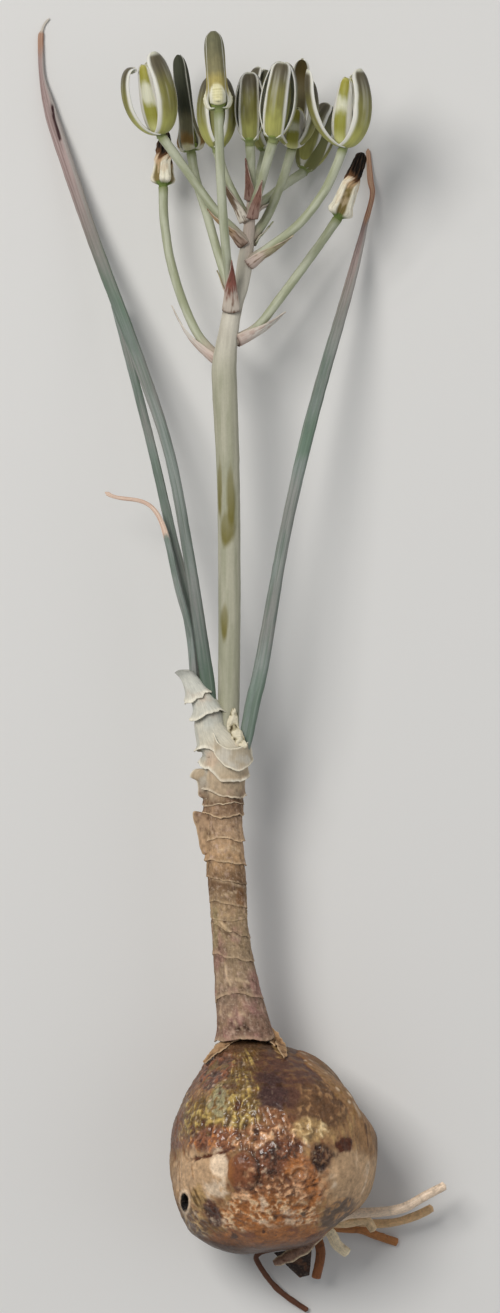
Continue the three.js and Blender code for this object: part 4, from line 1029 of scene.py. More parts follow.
def leaf(name):
    """A channelled leaf, grey-green with a bluish bloom, mauve and then dry towards its tip."""
    mauve_from, dry_from, dry, stained, low = LEAF_AGE[name]
    seed = len(name)

    def paint(s, a, places):
        cloud = ring_noise(s * 40, a, 1, 3, seed)
        broad = ring_noise(s * 14, a, 0.5, 1.4, 88 + seed)
        lines = ring_noise(s * 12, a, 7, 1, 86, 3)
        green = coated(
            tone(104, 114, 106),
            (tone(128, 136, 130), ramp(cloud, -0.6, 0.7)),
            (tone(94, 118, 98), ramp(broad, 0, 0.7) * 0.7),
            (tone(140, 136, 132), ramp(broad, -0.1, -0.8) * 0.6),
            (tone(88, 104, 88), ramp(lines, 0.1, 0.9) * 0.6),
            (tone(152, 152, 146), ramp(lines, -0.1, -0.9) * 0.5),
        )
        green = scaled(green, low + (1.08 - low) * ramp(s, 0.05, 0.5))
        mauve = coated(tone(170, 150, 145), (tone(138, 116, 112), ramp(lines, -0.1, 0.8)),
                       (tone(176, 172, 166), ramp(np.cos(a) + 0.5 * lines, 0.3, 0.8) * 0.7))
        withered = mixed(dry, stained, ramp(lines, 0, 0.8))
        old = coated(green, (mauve, ramp(s + 0.03 * cloud, mauve_from - 0.1, mauve_from + 0.12)),
                     (withered, ramp(s + 0.02 * cloud, dry_from, dry_from + 0.02)))
        if name != "leaf_long":
            return old
        open_slit = ramp(line_distance(places, SLIT), 0.42, 0.22) * ramp(np.sin(a), 0.2, 0.4)
        return coated(old, (tone(52, 24, 26), open_slit),
                      (tone(196, 188, 176), ramp(places[..., 1], 285, 285.6)))

    surface = tube(LEAVES[name], 40, 0.8, paint, wrinkle=0.05, seed=seed, section=leaf_section)
    if name == "leaf_long":
        places = surface["places"]
        near = ramp(line_distance(places, SLIT), 0.5, 0.15) * ramp(places[:, 2], 2.2, 2.8)
        places[:, 2] -= 0.5 * near
    return above_floor([surface])


# Flower stem, stalks and bracts

SCAPE_LINE = [
    [-11.5, 94, 26.4, 2.6], [-11.1, 105, 26.8, 2.7], [-10.8, 139, 27, 2.8], [-11.1, 170, 27, 2.9],
    [-12, 192.5, 27, 3.15], [-12.1, 199, 27, 3.1], [-11.1, 206.5, 27, 2.5], [-9.9, 213, 27, 2.3],
    [-7.8, 219, 27, 1.9], [-6.8, 225, 27, 1.95], [-6.1, 230.5, 27, 1.6], [-5.6, 236, 27, 1.35],
    [-5.1, 241.5, 26.5, 1],
]
# Radius of a stalk, at its foot and below its flower
STALK_RADIUS, STALK_FOOT, STALK_TOP = 1.15, 1.4, 1.25
# The flowers from the lowest stalk up: the stalk's line, where the petals end, the heading of one outer
# petal, the length of the bract, and what sets a flower apart from its kind. Petals gives the heading,
# length, lean at foot and tip in degrees, hook and half width of each outer petal of an open flower; lean
# and petal_half give these for the even petals of a shut one, whose bud is broad times as wide as usual
# Green, where a flower gives it, darkens the green of its petals as painted shade, for flowers that lie in
# shade.
FLOWERS = {
    "withered_left": dict(
        kind="withered", tip=[-27.2, 259.5, 11], turn=12, bract=19, cream=6.9,
        stalk=[[-12.6, 199.6, 26], [-18.2, 205.7, 23], [-22.3, 214.2, 19.5], [-25.7, 225.2, 16.5],
               [-27.4, 236, 14.5], [-27.7, 245, 13.5]]),
    "withered_right": dict(
        kind="withered", tip=[23.2, 253.3, 17.5], turn=62, bract=14, cream=9.6,
        stalk=[[-9.9, 204.6, 26.6], [-4, 208.2, 24.5], [0.8, 214.1, 22.5], [8.4, 224.4, 20.5],
               [13.5, 231.5, 19.5], [16.8, 236.4, 19.3]]),
    "tall_front": dict(
        kind="spent", tip=[-14.8, 281, 49.5], turn=0, bract=15.5, length=19.4, foot=1.0, thin=1.0, rise=1.3,
        dome_top=5.6, band=((172, 158, 96), (136, 130, 96), (112, 110, 84)), band_at=(8.5, 14),
        stalk=[[-10, 212.5, 27.5], [-10.8, 220.6, 33.5], [-11.6, 227.1, 39], [-12.6, 239.3, 44.5],
               [-13.2, 251.7, 47], [-13.4, 261.7, 48]]),
    "tall_left": dict(
        kind="spent", tip=[-23.9, 278.5, 18], turn=-14, bract=9, length=24.6, foot=0.75, thin=0.8,
        dome_top=1.9, band=((134, 106, 60), (122, 118, 92), (64, 66, 52)), band_at=(4.8, 10),
        stalk=[[-9.3, 215, 26], [-12.7, 224, 22.5], [-16.5, 237.1, 20], [-19.3, 246.1, 19.2],
               [-20.6, 253.3, 19]]),
    "open_right": dict(
        kind="open", tip=[21.4, 271.7, 41], turn=44, bract=14, inner_turn=-20, inner_lean=-2.2,
        inner_length=19.2,
        petals=[(48, 23.6, (116, -44), 0, 3.8), (166, 21, (96, -30), 30, 3.4),
                (290, 23.8, (116, 4), 10, 3.2)],
        stalk=[[-6.8, 224.4, 27.3], [-0.5, 228.4, 30], [6.8, 234, 33], [12.6, 241.2, 35],
               [15.8, 247.4, 36], [17.9, 252.9, 37]]),
    "open_left": dict(
        kind="open", tip=[-31.2, 275.9, 39], turn=40, bract=13, inner_turn=-20, inner_lean=-1.4,
        petals=[(38, 24, (110, -35), 0, 3.8), (158, 21, (96, -30), 30, 3.4),
                (276, 24.2, (122, -28), 300, 3.4)],
        stalk=[[-6.2, 229.4, 27.3], [-9.4, 232.6, 29], [-14.2, 237.4, 31], [-21.9, 247.8, 34],
               [-28, 256.2, 35]]),
    "open_lower_right": dict(
        kind="open", tip=[7.4, 275.5, 32], turn=175, bract=8, inner_length=11.5, brown_inside=1, green=0.7,
        petals=[(178, 24.6, (104, -20), 20, 2.7), (62, 21, (100, -26), 20, 2.8),
                (298, 23, (104, -24), 20, 2.8)],
        stalk=[[-6.3, 229.5, 26.6], [-1.5, 236, 23.5], [2.4, 245, 22], [5.2, 254, 22.5]]),
    "shut_behind": dict(
        kind="shut", tip=[-14.1, 271.4, 32], turn=62, bract=13, green=0.85, length=20.6,
        stalk=[[-5.9, 234.6, 27], [-9.4, 241.2, 28.3], [-12, 246.6, 29.3], [-13.9, 252.9, 30]]),
    "shut_front": dict(
        kind="shut", tip=[2.8, 274.5, 43.5], turn=-8, bract=12, broad=0.82, petal_half=3.3, length=21.6,
        lean=(84, -28),
        stalk=[[-5.6, 236, 27.6], [-3.3, 242.6, 33], [-1.5, 248.6, 37.5], [0.2, 254.6, 40.5]]),
    "shut_low_right": dict(
        kind="shut", tip=[14.4, 265.7, 3.3], turn=-25, bract=8, green=0.8, lean=(78, -24),
        stalk=[[-5.4, 238.4, 26.4], [-1.3, 241.1, 21], [3.3, 245.3, 12], [8.2, 249, 4.9]]),
    "shut_low": dict(
        kind="shut", tip=[-1.5, 277.1, 3.8], turn=190, bract=9, length=24, brown_inside=1, green=0.8,
        lean=(84, -22),
        stalk=[[-5.2, 240, 26], [-3.6, 246.2, 15], [-1.7, 253.8, 5.9]]),
    "shut_middle": dict(
        kind="shut", tip=[-5.6, 272.2, 37.5], turn=-4, bract=12, broad=0.68, petal_half=3.0, length=19,
        green=0.74, lean=(76, -26),
        stalk=[[-5.2, 240.5, 26.8], [-5.3, 247.6, 32.5], [-5.6, 254.2, 35.5]]),
}
# The paints of the bracts at foot, tip and stripes
BRACT_PAINTS = {
    "pale": (tone(206, 186, 174), tone(168, 160, 128), tone(126, 98, 82)),
    "white": (tone(204, 186, 174), tone(224, 219, 208), tone(184, 158, 144)),
    "red": (tone(196, 184, 170), tone(148, 94, 82), tone(104, 78, 58)),
    "rose": (tone(168, 138, 126), tone(150, 112, 98), tone(108, 74, 64)),
    "tan": (tone(172, 148, 132), tone(170, 142, 106), tone(92, 72, 58)),
    "two-coloured": (tone(222, 214, 200), tone(96, 78, 62), tone(120, 98, 78)),
    "green": (tone(150, 156, 126), tone(128, 136, 94), tone(214, 218, 200)),
}
# How far each bract bulges away from its stalk halfway up, where that is more than a little
BELLIED = {"withered_left": 0.85, "withered_right": 0.3}
# How each bract looks: its paints, half its width, how far its middle is turned from the bulb's side towards
# the camera at its foot and how that changes towards its tip, in radians, how far its foot clasps the stem
# and how far its tip stands off
BRACT_LOOKS = {
    "withered_left": ("white", 2.7, 0.7, 0, 0.5, 1.5), "withered_right": ("white", 2.9, 0.75, 0, 0.3, 2.2),
    "tall_front": ("red", 2.5, -0.1, 1.0, 1.2, 0.25), "tall_left": ("pale", 1.2, 0, 0, 0.6, 0.5),
    "open_right": ("pale", 2.0, 0.7, -0.3, 0.7, 0.1), "open_left": ("tan", 1.9, 0.5, -0.3, 0.8, 0.15),
    "open_lower_right": ("green", 1.7, 0.3, 0, 0.5, 0.5),
    "shut_behind": ("two-coloured", 2.0, 0.5, 0, 0.5, 0.3),
    "shut_front": ("rose", 1.7, 0.1, 0.3, 0.6, 0.2), "shut_low_right": ("white", 1.6, 0.5, 0, 0.5, 0.2),
    "shut_low": ("tan", 1.3, 0, 0, 0.3, 0.2), "shut_middle": ("rose", 1.6, -0.2, -0.5, 0.5, 0.3),
}
# Where the bloom is rubbed off the stem: middle, half width and half height
RUBBED = [((-11.2, 157), (2.1, 4.6)), ((-13.2, 167), (0.6, 8)), ((-10.4, 164.5), (1.1, 8)),
          ((-12, 134), (0.95, 4.9))]


def stem_paint(s, a, places):
    """Pale waxy grey-green with rubbed olive patches, pinkish grey above the lowest stalks, and a dark ring
    under the foot of the largest bract."""
    y = places[..., 1]
    cloud = rough_noise(places * [1, 0.15, 1], 1.5, 90)
    paint = mixed(tone(160, 159, 136), tone(176, 173, 152), ramp(cloud, -0.5, 0.6))
    # Paler from about y 194 up: partly the stem's own colour and partly painted light that lifts the shadow
    # the flowers cast there.
    upper = mixed(tone(188, 182, 166), tone(206, 200, 184), ramp(cloud, -0.5, 0.6))
    paint = coated(paint, (upper, ramp(y, 194, 208)), (tone(190, 174, 162), ramp(y + 4 * cloud, 222, 236)))
    front = ramp(np.sin(a), 0.05, 0.4)
    for middle, half in RUBBED:
        away = away_from(places, middle, half) + 0.22 * cloud
        deep = 0.6 + 0.4 * ramp(y, middle[1] + half[1], middle[1] - half[1])
        paint = mixed(paint, tone(114, 106, 50), ramp(away, 1.15, 0.65) * deep * front)
    return mixed(paint, tone(98, 78, 68), bell((y - 212.2 + 0.3 * cloud) / 0.45) * 0.6)


def stalk_paint(s, a, places):
    """Pinkish at the foot, then pale green, a little darker below the flower."""
    cloud = ring_noise(6 * s + places[0, 0, 0], a, 1.2, 1, 91)
    paint = mixed(tone(158, 162, 132), tone(184, 187, 164), ramp(cloud, -0.6, 0.6))
    paint = mixed(tone(180, 166, 150), paint, ramp(s + 0.05 * cloud, 0.06, 0.2))
    return mixed(paint, tone(122, 130, 80), ramp(s, 0.94, 1))


def stalk_line(flower):
    """The line of a flower's stalk: x, y, z and radius."""
    return np.column_stack([flower["stalk"], np.full(len(flower["stalk"]), STALK_RADIUS)])


def stem_and_stalks():
    """The round stem with faint ribs, and each stalk, thicker at its foot and below its flower."""
    def ribbed(turn):
        rib = 1 + 0.014 * np.cos(11 * turn)
        return rib * np.cos(turn), rib * np.sin(turn)

    surfaces = [tube(SCAPE_LINE, 48, 0.7, stem_paint, wrinkle=0.05, seed=1, section=ribbed)]
    for i, flower in enumerate(FLOWERS.values()):
        points = stalk_line(flower)
        points[[0, -1], 3] = STALK_FOOT, STALK_TOP
        surfaces.append(tube(points, 24, 0.5, stalk_paint, wrinkle=0.05, seed=i + 2))
    return surfaces


def bract(name):
    """A pointed blade laid round the foot of a stalk on the side towards the bulb. Its half width falls with
    the 1.7th power of the share of its length, its foot clasps the stem, its middle bulges by a sine and its
    tip stands off by a cube."""
    flower = FLOWERS[name]
    paints, half, middle_turn, drift, clasp, free = BRACT_LOOKS[name]
    foot_paint, tip_paint, stripe_paint = BRACT_PAINTS[paints]
    stalk = stalk_line(flower)
    even, length = even_shares(stalk, 400)
    u = np.linspace(0, 1, 60)[:, None]
    v = np.linspace(-1, 1, 21)
    share = np.clip((0.9 + u[:, 0] * flower["bract"]) / length, 0, 1)
    frames = line_frame(stalk, np.interp(share, np.linspace(0, 1, 400), even))
    middle, radius, along = (part[:, None] for part in frames[:3])
    out = unit(TOWARDS_BULB - scaled(along, along @ TOWARDS_BULB))
    side = np.cross(along, out)
    side = side * (-1 if side[..., 2].mean() < -0.02 else 1)
    fibres = joined(4 * u, 4 * v, len(name))
    stripes = rough_noise(fibres, 0.8, 95, 3)
    belly = BELLIED.get(name, 0.12)
    reach = radius + 0.3 + clasp * ramp(u, 0.35, 0) + belly * np.sin(np.pi * u) + free * u**3
    width = half * ((1 - u) ** 0.25 * (1 - 0.93 * u**1.7)) * (1 + 0.1 * noise(fibres, 1.2, 96))
    turn = middle_turn + drift * u + v * np.minimum(width / reach, 2.4)
    reach = reach + 0.1 * stripes + 0.12 * np.abs(v) ** 3
    sheet = middle + scaled(out, reach * np.cos(turn)) + scaled(side, reach * np.sin(turn))
    paint = coated(
        foot_paint,
        (tip_paint, ramp(u + 0.2 * stripes, 0.12, 0.5)),
        (stripe_paint, ramp(stripes, 0, 0.6) * 0.8),
        (tone(214, 200, 184), ramp(np.abs(v) + 0.2 * stripes, 0.82, 1) * 0.7),
        (tone(92, 66, 54), ramp(u, 0.05, 0) * 0.7),
    )
    look = looks(sheet, paint, joined(u * flower["bract"], 2 * turn, 0))
    return [slab(sheet, 0.2 + 0.1 * ramp(np.abs(v), 1, 0.5), look)]


# Flowers

FLOWER_LENGTH = 20
# Lean at foot and tip in degrees, hook and half width of an outer petal, and half width of an inner one,
# where a flower gives none of its own
PETAL_LEAN, PETAL_HOOK, PETAL_HALF, INNER_HALF = (94, -28), 60, 3.0, 3.2
# How fast the ridges across the dome at a spent petal's foot follow each other, in radians a millimetre
DOME_RIDGES = 7.4
# Heights and distances from the axis of the middle of an inner petal, in a flower of that length, and of an
# outer petal that has closed for good
INNER_MIDRIBS = {
    "open": [[0.8, 1.4], [2.4, 2.8], [5.4, 3.4], [9, 3.2], [13, 2.5], [16.6, 1.6], [18.2, 0.8]],
    "shut": [[0.9, 1.6], [2.4, 2.8], [5.6, 3.7], [10, 3.8], [14, 3.1], [16.8, 1.6], [17.6, 0.7]],
    "spent": [[0.9, 1.2], [2.4, 2], [5.6, 1.9], [10, 1.9], [14, 1.9], [16.8, 1.4], [17.8, 0.6]],
}
SPENT_MIDRIB = [[0.7, 0.9], [0.5, 2], [1.1, 2.75], [2.6, 2.95], [4.6, 2.55], [7, 2.3], [10, 2.2], [13, 2.3],
                [16, 2.2], [18.2, 1.6], [19.4, 0.4]]
RECEPTACLE = [[-0.7, 1.15], [0, 1.2], [0.5, 1.5], [1, 1.95], [1.7, 1.9], [2.3, 1.2]]


def flower_frame(flower):
    """Foot, axis, upper side and right side of a flower."""
    foot = np.array(flower["stalk"][-1], float)
    axis = unit(np.array(flower["tip"]) - foot)
    right = unit(np.cross(axis, UP))
    return foot, axis, np.cross(right, axis), right


def petal_outline(u, foot_share, narrow):
    """Share of a petal's half width at each share of its length: it widens by an S curve from the foot's
    share, narrows by another one towards the tip, and is rounded off by a quarter ellipse at either end."""
    width = (foot_share + (1 - foot_share) * ramp(u, -0.08, 0.4)) * (1 - narrow * ramp(u, 0.4, 1))
    tip = np.sqrt(np.clip(1 - (np.clip(u - 0.84, 0, 1) / 0.163) ** 2, 0.004, 1))
    foot = np.sqrt(np.clip(1 - (np.clip(0.05 - u, 0, 1) / 0.052) ** 2, 0.004, 1))
    return width * tip * foot


def petal(flower, heading, midrib, *, half_width, cupping, paints, seed, narrow=0.0, wavy=0.0, lean=0.0,
          dome=0.0):
    """A petal over its midrib, given as distance from the axis and height at each row. Its section is an
    arc of the cupping angle. Lean moves it to the right in step with its height. Dome raises and
    thickens a bell-shaped swelling near its foot, with cross ridges by the sine of the height. The paints
    are those of its outside and its inside."""
    foot, axis, front, right = flower_frame(flower)
    rows = np.linspace(0, 1, len(midrib))
    spaced = rows - 0.1 * np.sin(2 * np.pi * rows)
    out, high = (np.interp(spaced, rows, part)[:, None] for part in midrib.T)
    u, v = crossed(spaced, np.linspace(-1, 1, 23))
    outward = swung(np.radians(heading), front, right)
    width = half_width * petal_outline(u, 0.8, narrow)
    bend = cupping * v
    from_axis = out - width * (1 - np.cos(bend)) / cupping
    sideways = width * np.sin(bend) / cupping
    from_axis = from_axis + wavy * rough_noise(joined(u * 8, v, 0), 1.5, seed) * np.abs(v) ** 3
    ridges = 1 + 0.3 * np.sin(DOME_RIDGES * high) * ramp(high, 1, 1.8)
    swelling = bell(v / 0.75) * bell((high - 2.6) / 2)
    from_axis = from_axis + dome * swelling * (ridges - 0.4)
    sheet = (foot + scaled(axis, high) + scaled(outward, from_axis)
             + scaled(np.cross(axis, outward), sideways) + scaled(right, lean * high / high.max()))
    grain = joined(u * 20, v * half_width, 3 * seed)
    outside, inside = (looks(sheet, paint(u, v, flower, seed), grain) for paint in paints)
    thick = 0.26 + 0.4 * ramp(np.abs(v), 0.8, 0.2) + 2 * dome * swelling
    return slab(sheet, thick, inside, outside)


def leaning_midrib(length, lean, hook, steps=48):
    """A midrib that leaves the axis at its first lean, in degrees, turns to its last with the 0.4th power
    of the share of its length, and hooks in with the sixteenth."""
    share = (np.arange(steps) + 0.5) / steps
    first, last = lean
    angle = np.radians(first + (last - first) * share**0.4 - hook * share**16)
    run = np.cumsum(joined(np.sin(angle), np.cos(angle)), axis=0) * length / steps
    return 0.6 + np.vstack([[0, 0], run])


def bud_midrib(kind, length, broad):
    """The midrib of an inner petal, for a flower of that length and a bud so many times as broad."""
    midrib = np.array(INNER_MIDRIBS[kind]) * [length / FLOWER_LENGTH, broad]
    return line(midrib, np.linspace(0, 1, 40))[:, ::-1]


def outer_paint(u, v, flower, seed):
    """Outer petals outside: white margins round a broad green band that is yellower at the foot and
    brownish grey with a few silvery streaks at the tip."""
    cloud = rough_noise(joined(u * 5, v * 1.5, seed), 1, 97)
    streak = rough_noise(joined(u * 2.5, v * 6, seed), 1, 98, 3)
    green = coated(tone(182, 181, 104), (tone(134, 130, 72), ramp(u + 0.1 * cloud, 0.16, 0.55)),
                   (tone(98, 91, 72), ramp(u, 0.55, 0.85)))
    green = mixed(green, green * 0.72, ramp(streak, 0.1, -0.6) * 0.7)
    silvery = ramp(streak, 0.3, 0.9) * ramp(np.abs(u - 0.62), 0.35, 0.1) * 0.5
    # Painted shade: the flower's green factor darkens the band.
    green = mixed(green, tone(172, 170, 152), silvery) * flower.get("green", 1)
    band = ramp(np.abs(v) + 0.05 * cloud, 0.82, 0.62) * ramp(u, 0.985, 0.94)
    return coated(tone(224, 222, 212), (tone(188, 187, 160), ramp(np.abs(v), 0.8, 0.62) * 0.6),
                  (green, band), (tone(138, 146, 74), ramp(u, 0.09, 0.01) * 0.8))


def outer_inside_paint(u, v, flower, seed):
    """Outer petals inside: white with a pale green middle, or brown in flowers that grow old."""
    brown = mixed(tone(132, 122, 92), tone(78, 66, 34), ramp(u, 0.55, 0.85))
    return coated(tone(222, 221, 212), (tone(186, 190, 156), ramp(np.abs(v), 0.6, 0.35) * 0.8),
                  (brown, ramp(np.abs(v), 0.9, 0.7) * flower.get("brown_inside", 0)))


def inner_paint(u, v, flower, seed):
    """Inner petals: white margins, and a yellow-green band with a silvery break above its middle that is a
    painted highlight.
    """
    cloud = rough_noise(joined(u * 6, v * 2, seed), 1, 99)
    green = coated(tone(212, 211, 148), (tone(148, 146, 64), ramp(u, 0.1, 0.36)),
                   # Painted highlight: the pale break above the band's middle.
                   (tone(220, 219, 198), ramp(np.abs(u - 0.6) + 0.05 * cloud, 0.13, 0.03) * 0.85),
                   (tone(156, 150, 62), ramp(u, 0.68, 0.8)))
    return coated(tone(226, 223, 214), (green, ramp(np.abs(v) + 0.05 * cloud, 0.62, 0.42)),
                  (tone(186, 180, 104), ramp(u, 0.88, 0.98) * 0.6))


def shaded_inner_paint(u, v, flower, seed):
    """Inner petals where they show between shut outer ones: grey-green between white margins."""
    # Painted shade: darkened by the flower's green factor.
    green = mixed(tone(136, 136, 82), tone(98, 96, 74), ramp(u, 0.3, 0.8)) * flower.get("green", 1)
    return mixed(tone(206, 204, 190), green, ramp(np.abs(v), 0.8, 0.6))


def inner_inside_paint(u, v, flower, seed):
    """Inner petals inside: plain greenish white."""
    return tone(200, 202, 176)


def spent_paint(u, v, flower, seed):
    """Petals that have closed for good: thin pale margins, a dull band that is yellow above the cream dome
    at the foot, and darker lines of painted shade between the dome's ridges."""
    cloud = rough_noise(joined(u * 6, v * 2, seed), 1, 92)
    streak = rough_noise(joined(u * 2.5, v * 5, seed), 1, 93, 3)
    low, middle, high = (tone(*colour) for colour in flower["band"])
    height = u * (flower["length"] + 2.2) - 1.7
    first, second = flower["band_at"]
    band = coated(low, (middle, ramp(height + cloud, first - 1.5, first + 1.5)),
                  (high, ramp(height + cloud, second - 2, second + 2)))
    band = mixed(band, band * 0.75, ramp(streak, 0.1, -0.7) * 0.6)
    margin = ramp(np.abs(v) + 0.04 * cloud, 0.8, 0.92) * (0.5 + 0.5 * flower["foot"])
    # Painted shade: darker lines between the dome's ridges.
    between = ramp(np.sin(DOME_RIDGES * height + 1.6), -0.3, -1) * ramp(height, 0.8, 1.6)
    between = between * ramp(np.abs(v), 0.6, 0.3)
    cream = coated(tone(228, 222, 180), (tone(232, 229, 208), ramp(np.abs(v), 0.2, 0.7)),
                   (tone(176, 166, 96), between * 0.55))
    top = flower["dome_top"] * (1 - 0.8 * v * v)
    return coated(
        band,
        (tone(206, 204, 190), margin),
        (cream * flower["foot"], ramp(height + 0.25 * cloud, top + 0.6, top - 0.5)),
        (tone(112, 126, 62), ramp(height, 0.1, -0.9)),
    )


def turned(flower, stations, columns, rows, shape, paint_of):
    """A body round a flower's axis through stations of height and radius; shape gives the share of the
    radius, and the twist, at each height and turn."""
    foot, axis, front, right = flower_frame(flower)
    heights, radii = line(stations, np.linspace(0, 1, rows)).T
    height, turn = crossed(heights, turns(columns))
    share, twist = shape(height, turn)
    rings = foot + scaled(axis, height) + scaled(swung(turn + twist, front, right), radii[:, None] * share)
    grain = joined(height, 3 * np.cos(turn), 3 * np.sin(turn))
    return skin(rings, looks(rings, paint_of(height, turn, share), grain))


def receptacle(flower):
    """The swollen end of the stalk, with three low knobs under the outer petals."""
    def knobs(height, turn):
        return 1 + 0.08 * np.cos(3 * (turn - np.radians(flower["turn"]))) * ramp(height, 0, 1.2), 0

    def green_foot(height, turn, share):
        return mixed(tone(132, 140, 92), tone(128, 142, 72), ramp(height, 0, 1.2))

    return turned(flower, RECEPTACLE, 36, 24, knobs, green_foot)


def fresh_flower(name):
    """Swollen stalk end, three inner petals that stand together, and three outer petals round them."""
    flower = FLOWERS[name]
    turn, seed = flower["turn"], len(name)
    length = flower.get("length", FLOWER_LENGTH)
    broad = flower.get("broad", 1)
    bud = bud_midrib(flower["kind"], flower.get("inner_length", length), broad)
    inner = (inner_paint if flower["kind"] == "open" else shaded_inner_paint, inner_inside_paint)
    lean, half = flower.get("lean", PETAL_LEAN), flower.get("petal_half", PETAL_HALF)
    even = [(turn + 120 * i, length, lean, PETAL_HOOK, half) for i in range(3)]
    surfaces = [receptacle(flower)]
    for i in range(3):
        surfaces.append(petal(
            flower, flower.get("inner_turn", turn + 60) + 120 * i, bud, half_width=INNER_HALF * broad,
            cupping=1.1, paints=inner, narrow=0.4, lean=flower.get("inner_lean", 0), seed=i + seed))
    for i, (heading, reach, lean, hook, half) in enumerate(flower.get("petals", even)):
        surfaces.append(petal(
            flower, heading, leaning_midrib(reach, lean, hook), half_width=half, cupping=0.9,
            paints=(outer_paint, outer_inside_paint), narrow=0.15, wavy=0.12, seed=i + 3 + seed))
    return above_floor(surfaces)


def spent_flower(name):
    """Petals that have closed and stuck together, the foremost over the margins of the others, each with a
    swelling at its foot. Rise tilts the feet up in front, by the cosine of the heading."""
    flower = FLOWERS[name]
    length, thin, turn = flower["length"], flower["thin"], flower["turn"]
    stretch = (length - 5) / 14.4
    bud = bud_midrib("spent", length, thin)
    surfaces = [receptacle(flower)]
    for i in range(3):
        surfaces.append(petal(
            flower, turn + 60 + 120 * i, bud, half_width=2, cupping=1.2,
            paints=(shaded_inner_paint, inner_inside_paint), seed=i))
    for i in range(3):
        heading = turn + 120 * i
        high, out = line(SPENT_MIDRIB, even_shares(SPENT_MIDRIB, 60)[0]).T
        lift = flower.get("rise", 0) * (0.26 + 0.74 * np.cos(np.radians(heading))) * ramp(high, 9, 0)
        high = np.where(high < 5, high, 5 + (high - 5) * stretch) + lift
        out = out * np.where(high < 5, 1, 1 + (thin - 1) * ramp(high, 4, 9)) + (0.16 if i == 0 else 0)
        surfaces.append(petal(
            flower, heading, joined(out, high), half_width=2.75 * thin, cupping=1.2,
            paints=(spent_paint, outer_inside_paint), narrow=0.1, wavy=0.08, dome=0.45, seed=i + 3))
    return surfaces


def withered_flower(name):
    """Cream foot with three double lobes that end in white knobs, and dried petals twisted together into a
    dark wrinkled club."""
    flower = FLOWERS[name]
    reach = np.linalg.norm(np.array(flower["tip"]) - flower["stalk"][-1])
    cream_top = flower["cream"]
    stations = [[-0.7, 1.15], [0, 1.2], [0.45, 1.9], [0.9, 2.9], [1.7, 3.25], [2.6, 2.95], [3.6, 2.7],
                [cream_top - 1, 2.4], [cream_top + 1, 2], [cream_top + 3, 1.85], [reach - 3, 1.6],
                [reach - 1.2, 1.2], [reach - 0.3, 0.4]]
    first = np.radians(flower["turn"])

    def lobes_of(turn):
        """One over the middle of each lobe, zero in the groove between two."""
        return ramp(np.cos(3 * (turn - first)), -0.9, 0.2)

    def shape(height, turn):
        split = 0.06 * bell(((turn - first + np.pi / 3) % (2 * np.pi / 3) - np.pi / 3) / 0.1)
        shrunk = ramp(height, cream_top - 1.5, cream_top + 2)
        depth = (0.28 + 0.2 * ramp(height, 3.2, 1)) * ramp(height, 0, 0.8) * (1 - 0.75 * shrunk)
        ribs = 0.13 * np.cos(11 * turn + 0.8 * height) + 0.07 * np.cos(17 * turn - 0.5 * height)
        crumple = 0.16 * ring_noise(height / 2, turn, 2, 1.3, 77)
        share = 1 - depth * (1 - lobes_of(turn)) - split * (1 - shrunk) * ramp(height, 2.2, 3.4)
        return share + (ribs + crumple) * (0.22 + 0.78 * shrunk), 0.8 * shrunk

    def paint_of(height, turn, share):
        lobe = lobes_of(turn)
        cloud = ring_noise(height, turn, 3, 2, 78)
        edge = height - cream_top + 0.9 * cloud - 1.2 * lobe + 1.6 * ramp(np.sin(turn - 0.4), 0.3, 0.9)
        cream = coated(tone(128, 112, 66), (tone(236, 230, 210), ramp(lobe, 0.35, 0.9)),
                       (tone(212, 190, 158), ramp(cloud, -0.1, 0.8) * 0.6),
                       (tone(206, 172, 136), ramp(edge, -2.6, -0.4) * 0.7))
        # The club's dark brown is painted darkest in the hollows of its wrinkles, as painted shade.
        dark = mixed(tone(26, 20, 16), tone(78, 58, 42), ramp(share + 0.1 * cloud, 0.95, 1.25))
        return coated(tone(104, 120, 62), (cream, ramp(height + 0.5 * lobe, 0.7, 1.3)),
                      (tone(104, 72, 46), ramp(edge, -0.6, 0.3)), (dark, ramp(edge, 0.3, 1.8)))

    return [turned(flower, stations, 96, 120, shape, paint_of)]


# Assembly

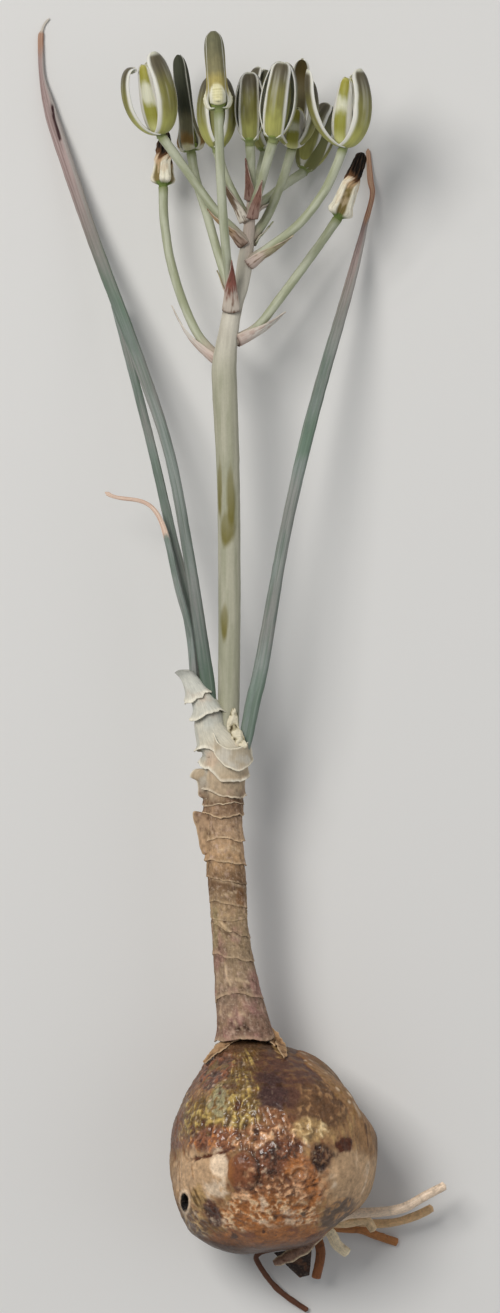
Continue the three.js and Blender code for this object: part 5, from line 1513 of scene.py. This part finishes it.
FINISHES = {
    "wet_scale": dict(fibre=(3, 1), contrast=0.08, relief=0.22, rough=0.65, speckle=0.45, speckle_size=0.8,
                      flecks=0.12, shine=0.12, coat=0.75),
    "root_skin": dict(fibre=(4, 0.5), contrast=0.12, relief=0.1, rough=0.6, speckle=0.3, speckle_size=0.7,
                      shine=0.2, coat=0.5),
    "papery_sheath": dict(fibre=(5, 0.35), contrast=0.1, relief=0.15, rough=0.85, speckle=0.22,
                          speckle_size=1, flecks=0.3, shine=0.15),
    "waxy_leaf": dict(fibre=(14, 0.16), contrast=0.12, relief=0.1, rough=0.6, speckle=0.2, speckle_size=0.6),
    "waxy_stem": dict(fibre=(16, 0.3), contrast=0.06, relief=0.08, rough=0.55, speckle=0.15,
                      speckle_size=0.8),
    "papery_bract": dict(fibre=(6, 0.15), contrast=0.16, relief=0.15, rough=0.8, shine=0.15),
    "fresh_petal": dict(fibre=(12, 0.22), contrast=0.08, relief=0.1, rough=0.45, soft=0.15),
    "faded_petal": dict(fibre=(6, 0.3), contrast=0.13, relief=0.2, rough=0.65, speckle=0.25, shine=0.15),
}
# The pieces of the lower plant: name, maker, the solid it stands for, slot and finish
LOWER_PIECES = [
    ("bulb_scales", lambda: [bulb()], "bulb", "bulb", "wet_scale"),
    ("roots", roots, "basal_plate_and_roots", "root", "root_skin"),
    ("pale_scale", torn_scale_pale, "torn_scale_pale", "torn_scale", "wet_scale"),
    ("dark_scale", torn_scale_dark, "torn_scale_dark", "torn_scale", "wet_scale"),
    ("sheaths_of_neck", neck, "neck_sheaths", "sheath", "papery_sheath"),
    ("sheath_in_front", front_sheath, "front_sheath", "sheath", "papery_sheath"),
    ("shred", inner_shred, "inner_shred", "sheath", "papery_sheath"),
]
FLOWER_MAKERS = {"open": fresh_flower, "shut": fresh_flower, "spent": spent_flower,
                 "withered": withered_flower}


def dress():
    """Makes every piece in place of its solid."""
    finish = {name: plant_material(name, **values) for name, values in FINISHES.items()}
    for name, maker, node, slot, look in LOWER_PIECES:
        make_piece(name, maker(), node, finish[look])
    for name in LEAVES:
        make_piece(name.replace("leaf_", "") + "_leaf", leaf(name), name, finish["waxy_leaf"])
    make_piece("stem_with_stalks", stem_and_stalks(), "scape_and_stalks", finish["waxy_stem"])
    for name, flower in FLOWERS.items():
        make_piece(name + "_bract", bract(name), "bract_" + name, finish["papery_bract"])
        age = "fresh" if flower["kind"] in ("open", "shut") else "faded"
        surfaces = FLOWER_MAKERS[flower["kind"]](name)
        make_piece(name + "_flower", surfaces, "flower_" + name, finish[age + "_petal"])


add_camera()
add_studio()
dress()
bpy.context.scene.view_settings.view_transform = "Standard"
